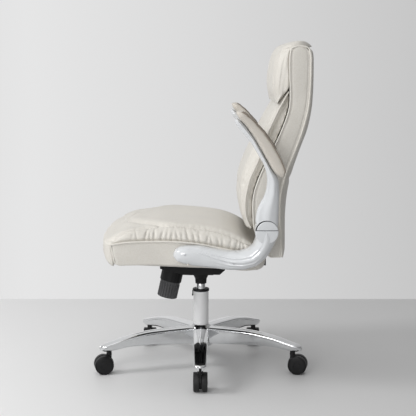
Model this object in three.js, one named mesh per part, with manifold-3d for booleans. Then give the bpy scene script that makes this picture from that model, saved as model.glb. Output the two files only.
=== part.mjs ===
// Swivel office chair with flip-up arms, in millimetres, +Z up.
// The origin is on the floor under the gas column; the chair faces -Y and its left side is +X.
import * as THREE from "three";
import { mergeVertices } from "three/addons/utils/BufferGeometryUtils.js";
import Module from "manifold-3d";

const wasm = await Module();
wasm.setup();

// ---------- driving dimensions ----------
const GAP = 0.3; // between pieces that touch
const RUNNING_GAP = 0.4; // between a shaft and its bore
const ROUND = 20; // facets round a turned piece

const WHEEL_RADIUS = 30;
const WHEEL_INNER = 3.4; // from the caster's middle to a wheel's inner rim
const WHEEL_OUTER = 22;
const WHEEL_CUP_RADIUS = 25; // the hollow in a wheel's inner face
const WHEEL_CUP_FLOOR = 9;
const AXLE_RADIUS = 3;
const CASTER_TRAIL = 17;
const CASTER_HEADINGS = [180, 78, 180, 180, -78]; // degrees that each caster trails towards
const STEM_RADIUS = 5.5;
const STEM_BOTTOM = 63;
const STEM_TOP = 94;
const STEM_CIRCLE = 308.6;

const LEG_COUNT = 5;
const LEG_REACH = 338;
const LEG_WIDTH = 46;
const LEG_TIP_WIDTH = 38;
const HUB_RADIUS = 38;
const HUB_BOTTOM = 70;
const HUB_TOP = 140;

const STAND_RADIUS = 25;
const STAND_WALL = 1.6;
const STAND_TOP = 254;
const COLUMN_RADIUS = 14;
const COLUMN_BOTTOM = 108;
const COLUMN_TOP = 320;
const ROD_RADIUS = 5;
const PIN_RADIUS = 4;
const PIN_TOP = 327;

const CONE_BOTTOM = 275;
const HOUSING_HALF_WIDTH = 58;
const HOUSING_WALL = 4;
const TILT_AXIS_Y = 18;
const TILT_AXIS_Z = 354;
const TILT_AXLE_RADIUS = 5;
const LEVER_HEIGHT = 331.5;
const LEVER_RADIUS = 4;

const KNOB_TILT = THREE.MathUtils.degToRad(12.7);
const KNOB_FOOT_Y = -111;
const KNOB_FOOT_Z = 230;
const KNOB_RADIUS = 32.5;
const KNOB_HEIGHT = 56;
const COLLAR_RADIUS = 35;
const COLLAR_TOP = 92;
const BOLT_RADIUS = 5;
const BOLT_TOP = 151.5;

const SEAT_HALF_WIDTH = 260;
const SEAT_FRONT = -315;
const SEAT_REAR = 199;
const SEAT_SLOPE = 0.04;
const SEAT_BOTTOM = 369.5; // of the seat's underside above the column
const BOARD_THICKNESS = 12;
const PLATE_HALF_WIDTH = 75;

const BACK_BOTTOM = 403;
const BACK_TOP = 1053;
const BACK_HALF_WIDTH = 249;
const BACK_TOP_HALF_WIDTH = 222;
const BACK_CORNER = 26;
const BACK_BOARD_HALF_WIDTH = 180;
const STRAP_OFFSET = 100; // from the middle of the back to the middle of a strap
const STRAP_HALF_WIDTH = 20;
const BAND_TOP = 1034; // the headrest pillow wraps over the band from here up

const HINGE_Y = 196;
const HINGE_Z = 494;
const HINGE_RADIUS = 34.2;
const HINGE_PIN_RADIUS = 6;
const BRACKET_INNER = SEAT_HALF_WIDTH + GAP;
const EAR_OUTER = 283;
const ARM_INNER = 285.6;
const ARM_DISC_OUTER = 325;
const ARM_OUTER = 335;
const PAD_HALF_WIDTH = 35;
const PAD_CENTRE = 310;

// ---------- materials ----------
const FINISHES = {
  leather: { color: 0xe4dfd6, roughness: 0.5, metalness: 0 },
  arm_leather: { color: 0xd8cfc2, roughness: 0.55, metalness: 0 },
  arm_paint: { color: 0xe3e6ea, roughness: 0.22, metalness: 0.1 },
  chrome: { color: 0xd6d8da, roughness: 0.08, metalness: 1 },
  white_steel: { color: 0xe9eaec, roughness: 0.25, metalness: 0.2 },
  steel: { color: 0x9a9ca0, roughness: 0.35, metalness: 1 },
  black_steel: { color: 0x111214, roughness: 0.45, metalness: 0.3 },
  black_plastic: { color: 0x1b1c1e, roughness: 0.5, metalness: 0 },
  caster_wheel: { color: 0x232427, roughness: 0.55, metalness: 0 },
  plywood: { color: 0xb98f5c, roughness: 0.7, metalness: 0 },
  dust_fabric: { color: 0x1a1a1b, roughness: 0.95, metalness: 0 },
};

const chair = new THREE.Group();

// Adds a mesh of its own finish to a group, by default the chair itself.
function addPiece(name, geometry, finish, parent = chair) {
  const mesh = new THREE.Mesh(geometry, new THREE.MeshStandardMaterial(FINISHES[finish]));
  mesh.name = name;
  parent.add(mesh);
  return mesh;
}

// ---------- solids ----------
const point = (y, z) => new THREE.Vector2(y, z);
const points = (pairs) => pairs.map(([y, z]) => point(y, z));

// The solid that a closed geometry encloses.
function solid(geometry) {
  const bare = geometry.clone();
  bare.deleteAttribute("normal");
  bare.deleteAttribute("uv");
  const merged = mergeVertices(bare, 1e-4);
  return new wasm.Manifold(
    new wasm.Mesh({
      numProp: 3,
      vertProperties: new Float32Array(merged.attributes.position.array),
      triVerts: new Uint32Array(merged.index.array),
    }),
  );
}

// The geometry of a solid.
function surface(body) {
  const mesh = body.getMesh();
  const geometry = new THREE.BufferGeometry();
  geometry.setAttribute("position", new THREE.BufferAttribute(mesh.vertProperties, 3));
  geometry.setIndex(new THREE.BufferAttribute(mesh.triVerts, 1));
  geometry.computeVertexNormals();
  return geometry;
}

const joined = (...parts) => parts.reduce((whole, part) => whole.add(part));
const without = (body, ...cuts) => cuts.reduce((rest, cut) => rest.subtract(cut), body);

// A side profile in (y, z), from x0 to x1.
function sideSlab(profile, x0, x1) {
  const shape = new THREE.Shape(profile);
  const geometry = new THREE.ExtrudeGeometry(shape, { depth: x1 - x0, bevelEnabled: false });
  const axes = new THREE.Matrix4().makeBasis(
    new THREE.Vector3(0, 1, 0),
    new THREE.Vector3(0, 0, 1),
    new THREE.Vector3(1, 0, 0),
  );
  return geometry.applyMatrix4(axes).translate(x0, 0, 0);
}

// A plan outline in (x, y), from z0 to z1.
function planSlab(outline, z0, z1) {
  const shape = new THREE.Shape(outline);
  return new THREE.ExtrudeGeometry(shape, { depth: z1 - z0, bevelEnabled: false }).translate(0, 0, z0);
}

// A profile in (radius, z) turned about +Z, with its faces outwards.
function turned(profile, facets = ROUND) {
  const outline = points(profile);
  const closed = outline[0].x > 0 || outline.at(-1).x > 0;
  if (closed) outline.push(outline[0].clone());
  if (THREE.ShapeUtils.area(outline) < 0) outline.reverse();
  return new THREE.LatheGeometry(outline, facets).rotateX(Math.PI / 2);
}

// A cylinder along X.
function crossRod(radius, x0, x1, y, z, facets = ROUND) {
  return new THREE.CylinderGeometry(radius, radius, x1 - x0, facets)
    .rotateZ(Math.PI / 2)
    .translate((x0 + x1) / 2, y, z);
}

function box(x0, x1, y0, y1, z0, z1) {
  return new THREE.BoxGeometry(x1 - x0, y1 - y0, z1 - z0).translate(
    (x0 + x1) / 2,
    (y0 + y1) / 2,
    (z0 + z1) / 2,
  );
}

// A closed body through rings that hold the same number of points, with a fan over each end, facing out.
function loft(rings) {
  const count = rings[0].length;
  const centre = (ring) =>
    ring.reduce((sum, p) => sum.add(p), new THREE.Vector3()).divideScalar(ring.length);
  const vertices = [...rings.flat(), centre(rings[0]), centre(rings.at(-1))];
  const foot = rings.length * count;
  const index = [];
  for (let i = 0; i < count; i++) {
    const next = (i + 1) % count;
    for (let r = 0; r + 1 < rings.length; r++) {
      const a = r * count;
      const b = a + count;
      index.push(a + i, a + next, b + next, a + i, b + next, b + i);
    }
    const last = (rings.length - 1) * count;
    index.push(foot, next, i, foot + 1, last + i, last + next);
  }
  const geometry = new THREE.BufferGeometry().setFromPoints(vertices);
  geometry.setIndex(index);
  const facesIn = solid(geometry).volume() < 0;
  if (facesIn) geometry.setIndex(index.reverse());
  geometry.computeVertexNormals();
  return geometry;
}

// The other coordinate of a smooth line through hand-placed points, at a given height or depth.
function along(pairs) {
  const line = new THREE.SplineCurve(points(pairs)).getPoints(pairs.length * 12);
  return (at) => {
    const next = line.findIndex((p) => p.x >= at);
    if (next === 0) return line[0].y;
    if (next < 0) return line.at(-1).y;
    const a = line[next - 1];
    const b = line[next];
    return THREE.MathUtils.mapLinear(at, a.x, b.x, a.y, b.y);
  };
}

const spread = (from, to, steps) =>
  Array.from({ length: steps + 1 }, (_, i) => THREE.MathUtils.lerp(from, to, i / steps));

// ---------- casters ----------
function addCaster(number) {
  const angle = ((number - 1) * 2 * Math.PI) / LEG_COUNT;
  const heading = THREE.MathUtils.degToRad(CASTER_HEADINGS[number - 1]);
  const caster = new THREE.Group();
  caster.position.set(STEM_CIRCLE * Math.cos(angle), STEM_CIRCLE * Math.sin(angle), 0);
  caster.rotation.z = heading - Math.PI / 2;
  chair.add(caster);

  const fork = crossRod(22, -8, 8, CASTER_TRAIL, WHEEL_RADIUS, 14);
  const web = box(-3, 3, -8, CASTER_TRAIL, WHEEL_RADIUS, 62);
  const socket = turned([[0, 60.5], [8.8, 60.5], [8.8, 74.5], [0, 74.5]], 12);
  const stubs = crossRod(AXLE_RADIUS, -20, 20, CASTER_TRAIL, WHEEL_RADIUS, 8);
  const bore = STEM_RADIUS + GAP;
  const stemBore = turned([[0, STEM_BOTTOM], [bore, STEM_BOTTOM], [bore, 80], [0, 80]], 8);
  const hood = without(joined(solid(fork), solid(web), solid(socket), solid(stubs)), solid(stemBore));
  addPiece(`caster_hood_${number}`, surface(hood), "black_plastic", caster);

  const foot = STEM_BOTTOM + GAP;
  const stem = turned([[0, foot], [STEM_RADIUS, foot], [STEM_RADIUS, STEM_TOP], [0, STEM_TOP]], 8);
  addPiece(`caster_stem_${number}`, stem, "steel", caster);

  // The rim's facets are turned so that one of them faces straight down.
  const facets = 24;
  const rim = WHEEL_RADIUS / Math.cos(Math.PI / facets);
  const hole = AXLE_RADIUS + RUNNING_GAP;
  for (const [side, sign] of [["a", -1], ["b", 1]]) {
    const tread = solid(
      turned([[0, WHEEL_INNER], [rim, WHEEL_INNER], [rim, WHEEL_OUTER], [0, WHEEL_OUTER]], facets)
        .rotateZ(Math.PI / facets)
        .rotateY((sign * Math.PI) / 2)
        .translate(0, CASTER_TRAIL, WHEEL_RADIUS),
    );
    const between = (from, to) => [Math.min(sign * from, sign * to), Math.max(sign * from, sign * to)];
    const cup = crossRod(WHEEL_CUP_RADIUS, ...between(0, WHEEL_CUP_FLOOR), CASTER_TRAIL, WHEEL_RADIUS, 16);
    const axleHole = crossRod(hole, ...between(0, 20.5), CASTER_TRAIL, WHEEL_RADIUS, 8);
    const wheel = without(tread, solid(cup), solid(axleHole));
    addPiece(`caster_wheel_${number}${side}`, surface(wheel), "caster_wheel", caster);
  }
}

// ---------- five-legged base ----------
function addBase() {
  const top = along([[20, 134], [110, 132], [190, 127], [250, 116], [303, 101], [330, 97]]);
  const bottom = along([[20, 78], [92, 81], [200, 85], [250, 83], [296, 76], [330, 75]]);
  const reaches = spread(20, LEG_REACH - 8, 8);
  const profile = [
    ...reaches.map((r) => point(r, bottom(r))),
    point(LEG_REACH, 84),
    point(LEG_REACH, 90),
    ...reaches.map((r) => point(r, top(r))).reverse(),
  ];
  const half = LEG_WIDTH / 2;
  const tip = LEG_TIP_WIDTH / 2;
  const outline = points([
    [half, 10],
    [half, 200],
    [tip, LEG_REACH - 14],
    [tip - 12, LEG_REACH],
    [12 - tip, LEG_REACH],
    [-tip, LEG_REACH - 14],
    [-half, 200],
    [-half, 10],
  ]);
  const boreTop = STEM_TOP + GAP;
  const boreRadius = STEM_RADIUS + GAP;
  const stemBore = solid(
    turned([[0, 60], [boreRadius, 60], [boreRadius, boreTop], [0, boreTop]], 12).translate(0, STEM_CIRCLE, 0),
  );
  const leg = solid(sideSlab(profile, -half - 1, half + 1))
    .intersect(solid(planSlab(outline, 60, 150)))
    .subtract(stemBore);
  let base = solid(
    turned([[0, HUB_BOTTOM], [HUB_RADIUS, HUB_BOTTOM], [HUB_RADIUS, 130], [30, HUB_TOP], [0, HUB_TOP]], 20),
  );
  for (let i = 0; i < LEG_COUNT; i++) base = base.add(leg.rotate([0, 0, (i * 360) / LEG_COUNT - 90]));
  const bore = STAND_RADIUS + GAP;
  base = base.subtract(solid(turned([[0, 60], [bore, 60], [bore, 160], [0, 160]])));
  addPiece("star_base", surface(base), "chrome");

  const wall = STAND_RADIUS - STAND_WALL;
  const stand = [
    [8, 70], [STAND_RADIUS, 70], [STAND_RADIUS, STAND_TOP], [wall, STAND_TOP], [wall, 74], [8, 74],
  ];
  addPiece("stand_tube", turned(stand), "white_steel");
  const sleeve = COLUMN_RADIUS + RUNNING_GAP;
  const bush = [[sleeve, 150], [wall - GAP, 150], [wall - GAP, STAND_TOP - 5], [sleeve, STAND_TOP - 5]];
  addPiece("guide_bushing", turned(bush), "black_plastic");
  const collar = STAND_RADIUS + GAP;
  const ring = [[14.6, 254.3], [collar, 254.3], [collar, 250], [27, 250], [27, 258], [14.6, 258]];
  const tab = box(-3, 3, -28, -collar - 0.2, 234, 252);
  addPiece("tube_top_ring", surface(joined(solid(turned(ring)), solid(tab))), "black_plastic");
  addPiece("thrust_bearing", turned([[8, 74.3], [20, 74.3], [20, 82], [8, 82]], 16), "steel");
  addPiece("rod_clip", turned([
    [ROD_RADIUS + GAP, 65], [10, 65], [10, 67], [ROD_RADIUS + GAP, 67],
  ], 12), "steel");
}

// ---------- gas lift ----------
function addGasLift() {
  const rod = [[0, 63], [ROD_RADIUS, 63], [ROD_RADIUS, 82.3], [11, 82.3], [11, 86], [ROD_RADIUS, 86]];
  rod.push([ROD_RADIUS, 280], [12.1, 280], [12.1, 290], [0, 290]);
  addPiece("piston_rod", turned(rod, 12), "steel");

  const gland = ROD_RADIUS + GAP;
  const seat = PIN_RADIUS + GAP;
  const tube = [
    [0, 300],
    [12.4, 300],
    [12.4, COLUMN_BOTTOM + 4],
    [gland, COLUMN_BOTTOM + 4],
    [gland, COLUMN_BOTTOM],
    [COLUMN_RADIUS, COLUMN_BOTTOM],
    [COLUMN_RADIUS, COLUMN_TOP],
    [seat, COLUMN_TOP],
    [seat, 304],
    [0, 304],
  ];
  addPiece("pressure_tube", turned(tube), "chrome");
  const pin = [[0, 311], [PIN_RADIUS, 311], [PIN_RADIUS, PIN_TOP], [0, PIN_TOP]];
  addPiece("release_pin", turned(pin, 12), "steel");
}

// ---------- tilt mechanism ----------
const seatLine = (y, above = 0) => SEAT_BOTTOM - SEAT_SLOPE * y + above;

// A slab that lies along the seat's sloping underside, between two heights above it.
function seatSlab(y0, y1, low, high, halfWidth) {
  const corners = [[y0, low], [y1, low], [y1, high], [y0, high]];
  return sideSlab(corners.map(([y, above]) => point(y, seatLine(y, above))), -halfWidth, halfWidth);
}

// Pieces on the tension knob's leaning axis stand in this group, with z measured from the knob's foot.
const knobAxis = new THREE.Group();
knobAxis.position.set(0, KNOB_FOOT_Y, KNOB_FOOT_Z);
knobAxis.rotation.x = -KNOB_TILT;
chair.add(knobAxis);
knobAxis.updateMatrixWorld(true);

// A turned piece on the knob's axis, as a solid in the chair's own frame.
const onKnobAxis = (profile, facets) => solid(turned(profile, facets).applyMatrix4(knobAxis.matrixWorld));

function addMechanism() {
  const half = HOUSING_HALF_WIDTH;
  const body = sideSlab(
    points([[-122, 352], [-122, 338], [-60, 313], [-30, 312], [40, 312], [46, 322], [46, 346], [-40, 352]]),
    -half,
    half,
  );
  const hollow = sideSlab(
    points([[-117, 362], [-117, 343], [-58, 318], [38, 318], [41, 324], [41, 362]]),
    HOUSING_WALL - half,
    half - HOUSING_WALL,
  );
  const cone = turned([[0, CONE_BOTTOM], [18, CONE_BOTTOM], [19, 290], [30, 313], [24, 318], [0, 318]]);
  const barrel = crossRod(9.8, -half, half, TILT_AXIS_Y, TILT_AXIS_Z);
  const axleBore = crossRod(TILT_AXLE_RADIUS + RUNNING_GAP, -90, 90, TILT_AXIS_Y, TILT_AXIS_Z, 16);
  const tubeSocket = COLUMN_RADIUS + GAP;
  const tubeBore = turned([[0, 260], [tubeSocket, 260], [tubeSocket, 335], [0, 335]]);
  const leverBore = crossRod(LEVER_RADIUS + 2.5, -half - 5, 0, 0, LEVER_HEIGHT, 12);
  const boltBore = onKnobAxis([[0, 60], [7.5, 60], [7.5, 140], [0, 140]], 12);
  const housing = without(
    joined(without(solid(body), solid(hollow)), solid(cone), solid(barrel)),
    solid(axleBore),
    solid(tubeBore),
    solid(leverBore),
    boltBore,
  );
  addPiece("mechanism_housing", surface(housing), "black_steel");

  // The collar's slanting end is cut off by the housing's own underside.
  const wall = COLLAR_RADIUS - 1.7;
  const tube = onKnobAxis([
    [wall, KNOB_HEIGHT], [COLLAR_RADIUS, KNOB_HEIGHT], [COLLAR_RADIUS, 110], [wall, 110],
  ]);
  const above = sideSlab(points([
    [-160, 352], [-122.5, 337.5], [-60, 312.6], [-20, 311.6], [-20, 400], [-160, 400],
  ]), -60, 60);
  addPiece("spring_housing", surface(without(tube, solid(above))), "black_steel");

  const axle = crossRod(TILT_AXLE_RADIUS, -80, 80, TILT_AXIS_Y, TILT_AXIS_Z, 16);
  addPiece("tilt_axle", axle, "steel");

  const lever = crossRod(LEVER_RADIUS, -170, 6, 0, LEVER_HEIGHT, 12);
  addPiece("lever_rod", lever, "black_steel");
  const grip = new THREE.Shape().absellipse(0, 0, 15, 7.5, 0, 2 * Math.PI);
  const handle = new THREE.ExtrudeGeometry(grip, {
    depth: 84,
    bevelThickness: 4,
    bevelSize: 4,
    bevelOffset: -4,
    bevelSegments: 1,
    curveSegments: 8,
  })
    .applyMatrix4(
      new THREE.Matrix4().makeBasis(
        new THREE.Vector3(0, 1, 0),
        new THREE.Vector3(0, 0, 1),
        new THREE.Vector3(1, 0, 0),
      ),
    )
    .translate(-236, 0, LEVER_HEIGHT);
  const rodHole = crossRod(LEVER_RADIUS + GAP, -171, -100, 0, LEVER_HEIGHT, 12);
  addPiece("lever_handle", surface(without(solid(handle), solid(rodHole))), "black_plastic");
}

function addTensionKnob() {
  const bore = BOLT_RADIUS + GAP;
  const cup = KNOB_RADIUS - 6;
  const knob = [
    [0, 0], [KNOB_RADIUS - 3, 0], [KNOB_RADIUS, 3], [KNOB_RADIUS, KNOB_HEIGHT - 0.5],
    [cup, KNOB_HEIGHT - 0.5],
  ];
  knob.push([cup, 14], [bore, 14], [bore, 5], [0, 5]);
  addPiece("tension_knob", turned(knob), "black_plastic", knobAxis);

  const head = [
    [0, 5.5], [BOLT_RADIUS, 5.5], [BOLT_RADIUS, BOLT_TOP], [10, BOLT_TOP], [10, BOLT_TOP + 4],
    [0, BOLT_TOP + 4],
  ];
  addPiece("tension_bolt", turned(head, 12), "steel", knobAxis);
  addPiece("thrust_washer", turned([[bore, 14.3], [25, 14.3], [25, 18], [bore, 18]], 16), "steel", knobAxis);

  const turns = 4.5;
  const low = 22;
  const high = 84;
  const coil = new THREE.CatmullRomCurve3(
    spread(0, 1, turns * 8).map((t) => {
      const a = t * turns * 2 * Math.PI;
      return new THREE.Vector3(20 * Math.cos(a), 20 * Math.sin(a), THREE.MathUtils.lerp(low, high, t));
    }),
  );
  const wire = new THREE.Shape().absarc(0, 0, 3, 0, 2 * Math.PI);
  const spring = new THREE.ExtrudeGeometry(wire, { steps: turns * 8, extrudePath: coil, curveSegments: 3 });
  addPiece("tension_spring", spring, "black_steel", knobAxis);
}

// ---------- seat ----------
const seatSeam = along([
  [-320, 447], [-270, 447], [-225, 455], [-164, 462], [-102, 463], [-35, 460], [36, 449], [122, 432],
  [199, 416],
]);
const seatCrown = along([
  [-314, 448.5], [-304, 455], [-288, 463], [-265, 472], [-235, 487], [-200, 503], [-150, 506.5],
  [-100, 510], [-50, 510], [0, 504.5], [50, 497], [100, 480], [132, 463], [165, 440], [182, 422],
]);

// Half the seat's width: full along its sides, rounded off towards the front, drawn in at the rear.
function seatHalfWidth(y) {
  const front = THREE.MathUtils.clamp((-253 - y) / (-253 - SEAT_FRONT + 1.5), 0, 1);
  const rear = THREE.MathUtils.clamp((y - 130) / 70, 0, 1);
  return SEAT_HALF_WIDTH * (1 - front ** 2.6) ** (1 / 2.6) - 14 * rear ** 2;
}

// A ring across the seat at one depth, between an underside and a top that are functions of x.
function crossRing(y, halfWidth, under, over) {
  const steps = spread(-1, 1, 8).map((t) => halfWidth * Math.sin((t * Math.PI) / 2));
  return [
    ...steps.map((x) => new THREE.Vector3(x, y, under(x))),
    ...steps.reverse().map((x) => new THREE.Vector3(x, y, over(x))),
  ];
}

const SEAT_DEPTHS = [SEAT_FRONT, -308, -296, -280, -262, -225, -160, -80, 0, 70, 120, 150, 182, SEAT_REAR];

function addSeat() {
  const bottom = (y) => seatLine(Math.max(y, -262)) + 40 * (Math.max(-262 - y, 0) / 53) ** 2;
  const band = loft(
    SEAT_DEPTHS.map((y) => crossRing(y, seatHalfWidth(y), () => bottom(y), () => seatSeam(y) - GAP)),
  );
  const pocket = seatSlab(-243, 173, -30, BOARD_THICKNESS + 3, 233);
  addPiece("seat_band", surface(without(solid(band), solid(pocket))), "leather");

  const cushion = loft(
    SEAT_DEPTHS.slice(0, -1).map((y) => {
      const width = seatHalfWidth(y);
      const rise = seatCrown(y) - seatSeam(y);
      const over = (x) => seatSeam(y) + GAP + rise * Math.max(1 - Math.abs(x / width) ** 6, 0) ** 0.4;
      return crossRing(y, width, () => seatSeam(y) + GAP - 0.15, (x) => over(x) + 0.2);
    }),
  );
  addPiece("seat_cushion", cushion, "leather");

  const boltClearance = onKnobAxis([[0, 100], [17, 100], [17, 200], [0, 200]], 12);
  const board = solid(seatSlab(-240, 170, 2.6, 2.6 + BOARD_THICKNESS, 230));
  addPiece("seat_board", surface(without(board, boltClearance)), "plywood");
  const cover = solid(seatSlab(-240, 170, 0.3, 2.2, 230));
  addPiece("dust_cover", surface(without(cover, boltClearance)), "dust_fabric");

  const half = PLATE_HALF_WIDTH;
  const rim = [[-130, 336], [-100, 327], [-58, 319], [60, 316], [78, 332]];
  const pan = sideSlab(
    [...points(rim), point(78, seatLine(78, -GAP)), point(-130, seatLine(-130, -GAP))],
    -half,
    half,
  );
  const inside = sideSlab(
    points([[-127, 300], [75, 300], [75, seatLine(75, -4.3)], [-127, seatLine(-127, -4.3)]]),
    3 - half,
    half - 3,
  );
  const leverNotch = box(-90, -60, -13, 13, 300, 345);
  const axleBore = crossRod(TILT_AXLE_RADIUS + GAP, -90, 90, TILT_AXIS_Y, TILT_AXIS_Z, 16);
  const boltSlot = onKnobAxis([[0, 130], [8, 130], [8, 160], [0, 160]], 12);
  const plate = without(solid(pan), solid(inside), solid(leverNotch), solid(axleBore), boltSlot);
  addPiece("seat_plate", surface(plate), "black_steel");
}

// ---------- back ----------
const bandFront = along([
  [383, 225], [400, 213], [430, 194], [457, 176], [480, 165], [513, 161], [546, 157], [583, 159],
  [625, 168], [667, 187], [745, 225], [827, 259], [882, 268], [968, 266], [1013, 267], [1024, 270],
  [1034, 283],
]);
const rearSeam = along([
  [383, 246], [430, 243], [480, 240], [574, 240], [639, 251], [741, 288], [801, 309], [846, 320],
  [918, 327], [1008, 328], [1024, 323], [1034, 312],
]);
const rearFace = along([
  [383, 262], [433, 269], [533, 272], [602, 281], [656, 293], [735, 318], [788, 338], [847, 348],
  [904, 351], [972, 351], [1015, 349], [1034, 345], [1044, 338], [1053, 318],
]);
const lumbarFace = along([
  [486, 137], [518, 128], [553, 121], [592, 120], [632, 125], [681, 140], [720, 159], [769, 183],
  [808, 202], [840, 220], [856, 231],
]);
const headFace = along([
  [858, 229], [866, 226], [904, 219], [958, 220], [1005, 230], [1034, 246], [1044, 262], [1053, 290],
]);

// Half the back's width: tapering upwards, with the two top corners rounded.
function backHalfWidth(z) {
  const taper = THREE.MathUtils.mapLinear(z, BACK_BOTTOM, BACK_TOP, BACK_HALF_WIDTH, BACK_TOP_HALF_WIDTH);
  const over = Math.max(z - (BACK_TOP - BACK_CORNER), 0);
  return taper - BACK_CORNER + Math.sqrt(BACK_CORNER ** 2 - over ** 2);
}

// A level ring through the back, between a front and a rear that are functions of x over the half width.
function levelRing(z, halfWidth, front, rear) {
  const steps = spread(-1, 1, 6).map((t) => Math.sin((t * Math.PI) / 2));
  return [
    ...steps.map((t) => new THREE.Vector3(t * halfWidth, front(t), z)),
    ...steps.reverse().map((t) => new THREE.Vector3(t * halfWidth, rear(t), z)),
  ];
}

function addBack() {
  const heights = [
    BACK_BOTTOM, 420, 440, 486, 530, 590, 650, 720, 790, 856, 904, 950, 985, 1008, 1024, BAND_TOP,
  ];
  const band = loft(
    heights.map((z) => levelRing(z, backHalfWidth(z), () => bandFront(z), () => rearSeam(z) - GAP)),
  );
  const boardFront = (z) => rearSeam(z) - 4 - BOARD_THICKNESS;
  const boardHeights = [412, 486, 590, 650, 720, 790, 856, 904, 990];
  const ringsOf = (halfWidth, ahead, behind, clearance) =>
    boardHeights.map((z, i) => {
      const below = i === 0 ? clearance : 0;
      const above = i === boardHeights.length - 1 ? clearance : 0;
      const rear = boardFront(z) + BOARD_THICKNESS + behind;
      return levelRing(z - below + above, halfWidth, () => boardFront(z) - ahead, () => rear);
    });
  const boardPocket = loft(ringsOf(BACK_BOARD_HALF_WIDTH + 1, GAP, 12, 1));
  const strapSlots = [-1, 1].map((side) => {
    const x = side * STRAP_OFFSET;
    const half = STRAP_HALF_WIDTH + 1;
    return solid(box(x - half, x + half, 199.4, 228, 340, 546));
  });
  addPiece("back_band", surface(without(solid(band), solid(boardPocket), ...strapSlots)), "leather");
  addPiece("back_board", loft(ringsOf(BACK_BOARD_HALF_WIDTH, 0, 0, 0)), "plywood");

  const bulge = (t) => 0.8 * (1 - Math.abs(t) ** 3) ** 0.55;
  const panel = loft(
    heights.map((z) => {
      const depth = rearFace(z) - rearSeam(z) - 5;
      return levelRing(z, backHalfWidth(z), () => rearSeam(z), (t) => rearSeam(z) + 5 + depth * bulge(t));
    }),
  );
  addPiece("rear_panel", panel, "leather");

  // The lumbar cushion tucks under the headrest pillow along a line that rises to the rear.
  const tuck = (z) => 230 + (z - 856) * 0.66;
  const lumbarHeights = heights.filter((z) => z >= 486 && z <= 904);
  const crown = (t) => (1 - Math.abs(t) ** 4) ** 0.44;
  const lumbar = loft(
    lumbarHeights.map((z) => {
      const rear = bandFront(z) - GAP;
      const face = z > 856 ? tuck(z) + 1 : lumbarFace(z);
      const edge = Math.min(face + (z > 856 ? 0 : 16), rear - 1);
      return levelRing(z, backHalfWidth(z) - 14, (t) => edge - (edge - face) * crown(t), () => rear);
    }),
  );
  addPiece("back_cushion", lumbar, "leather");

  // Above the band the pillow wraps over to the rear.
  const headHeights = [860, 868, 885, ...heights.filter((z) => z >= 904)];
  const wrapHeights = [BAND_TOP + GAP, 1040, 1046, 1051, BACK_TOP];
  const head = loft([
    ...headHeights.map((z) => {
      const rear = Math.min(bandFront(z) - GAP, tuck(z));
      const face = headFace(z);
      const edge = Math.min(face + 22, rear - 0.5);
      return levelRing(z, backHalfWidth(z) - 6, (t) => edge - (edge - face) * crown(t), () => rear);
    }),
    ...wrapHeights.map((z) => {
      const middle = (headFace(z) + rearFace(z)) / 2;
      const halfDepth = (rearFace(z) - headFace(z)) / 2;
      const reach = (t) => halfDepth * (0.75 + 0.25 * crown(t));
      return levelRing(z, backHalfWidth(z), (t) => middle - reach(t), (t) => middle + reach(t));
    }),
  ]);
  addPiece("head_cushion", head, "leather");

  // Each strap runs back under the seat and turns up in front of the back board.
  for (const [side, sign] of [["left", 1], ["right", -1]]) {
    const middle = sign * STRAP_OFFSET;
    const under = seatLine(100, -GAP);
    const strap = [
      [95, under - 5], [205, under - 9.5], [205, 440], [221.5, 470], [221.5, 540],
      [216.5, 540], [216.5, 472], [200, 442], [200, under - 4.5], [95, under],
    ];
    const slab = sideSlab(points(strap), middle - STRAP_HALF_WIDTH, middle + STRAP_HALF_WIDTH);
    addPiece(`back_strap_${side}`, slab, "black_steel");
  }
}

// ---------- flip-up arms ----------
const BRACKET_LINE = points([
  [-84, 413], [-82, 424], [-74, 435], [-58, 442.5], [-38, 445], [-1, 444], [40, 436], [80, 429.5],
  [116, 429], [142, 436], [157, 450], [164, 468], [164.9, 480.2],
  [162, 494], [230, 494], [230, 471], [219, 443], [200, 413], [170, 386], [133, 373], [89, 371.5],
  [29, 378], [-31, 386], [-70, 397],
]);
const ARM_LINE = points([
  [167, 512.2], [162, 521], [163, 532], [166, 552], [173, 572], [186, 596], [193, 615], [196, 640],
  [194.5, 666], [186, 692], [170, 720], [149, 756], [125, 784], [102, 811],
  [98, 821], [101, 829], [109, 831], [133, 806], [159, 770], [177, 738], [197, 702], [213, 674],
  [228, 656], [231, 640], [232, 610], [232, 580], [231, 540], [230, 500],
]);
const PAD_LINE = points([
  [109.4, 831.3], [133.4, 806.3], [159.4, 770.3], [177.4, 738.3], [197.4, 702.3], [213.4, 674.3],
  [228.4, 656.3], [240, 652], [250, 658], [253, 671], [248, 692], [237, 717], [216, 754], [192, 787],
  [158, 824], [136, 843], [121, 851], [110, 851], [103, 845], [103, 837],
]);

// A disc about the arm hinge, between two places along X.
const hingeDisc = (radius, x0, x1) => solid(crossRod(radius, x0, x1, HINGE_Y, HINGE_Z, 24));

// The hinge pin, or with a gap round it its bore.
const hingePin = (gap, x0, x1) => solid(crossRod(HINGE_PIN_RADIUS + gap, x0, x1, HINGE_Y, HINGE_Z, 12));

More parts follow.
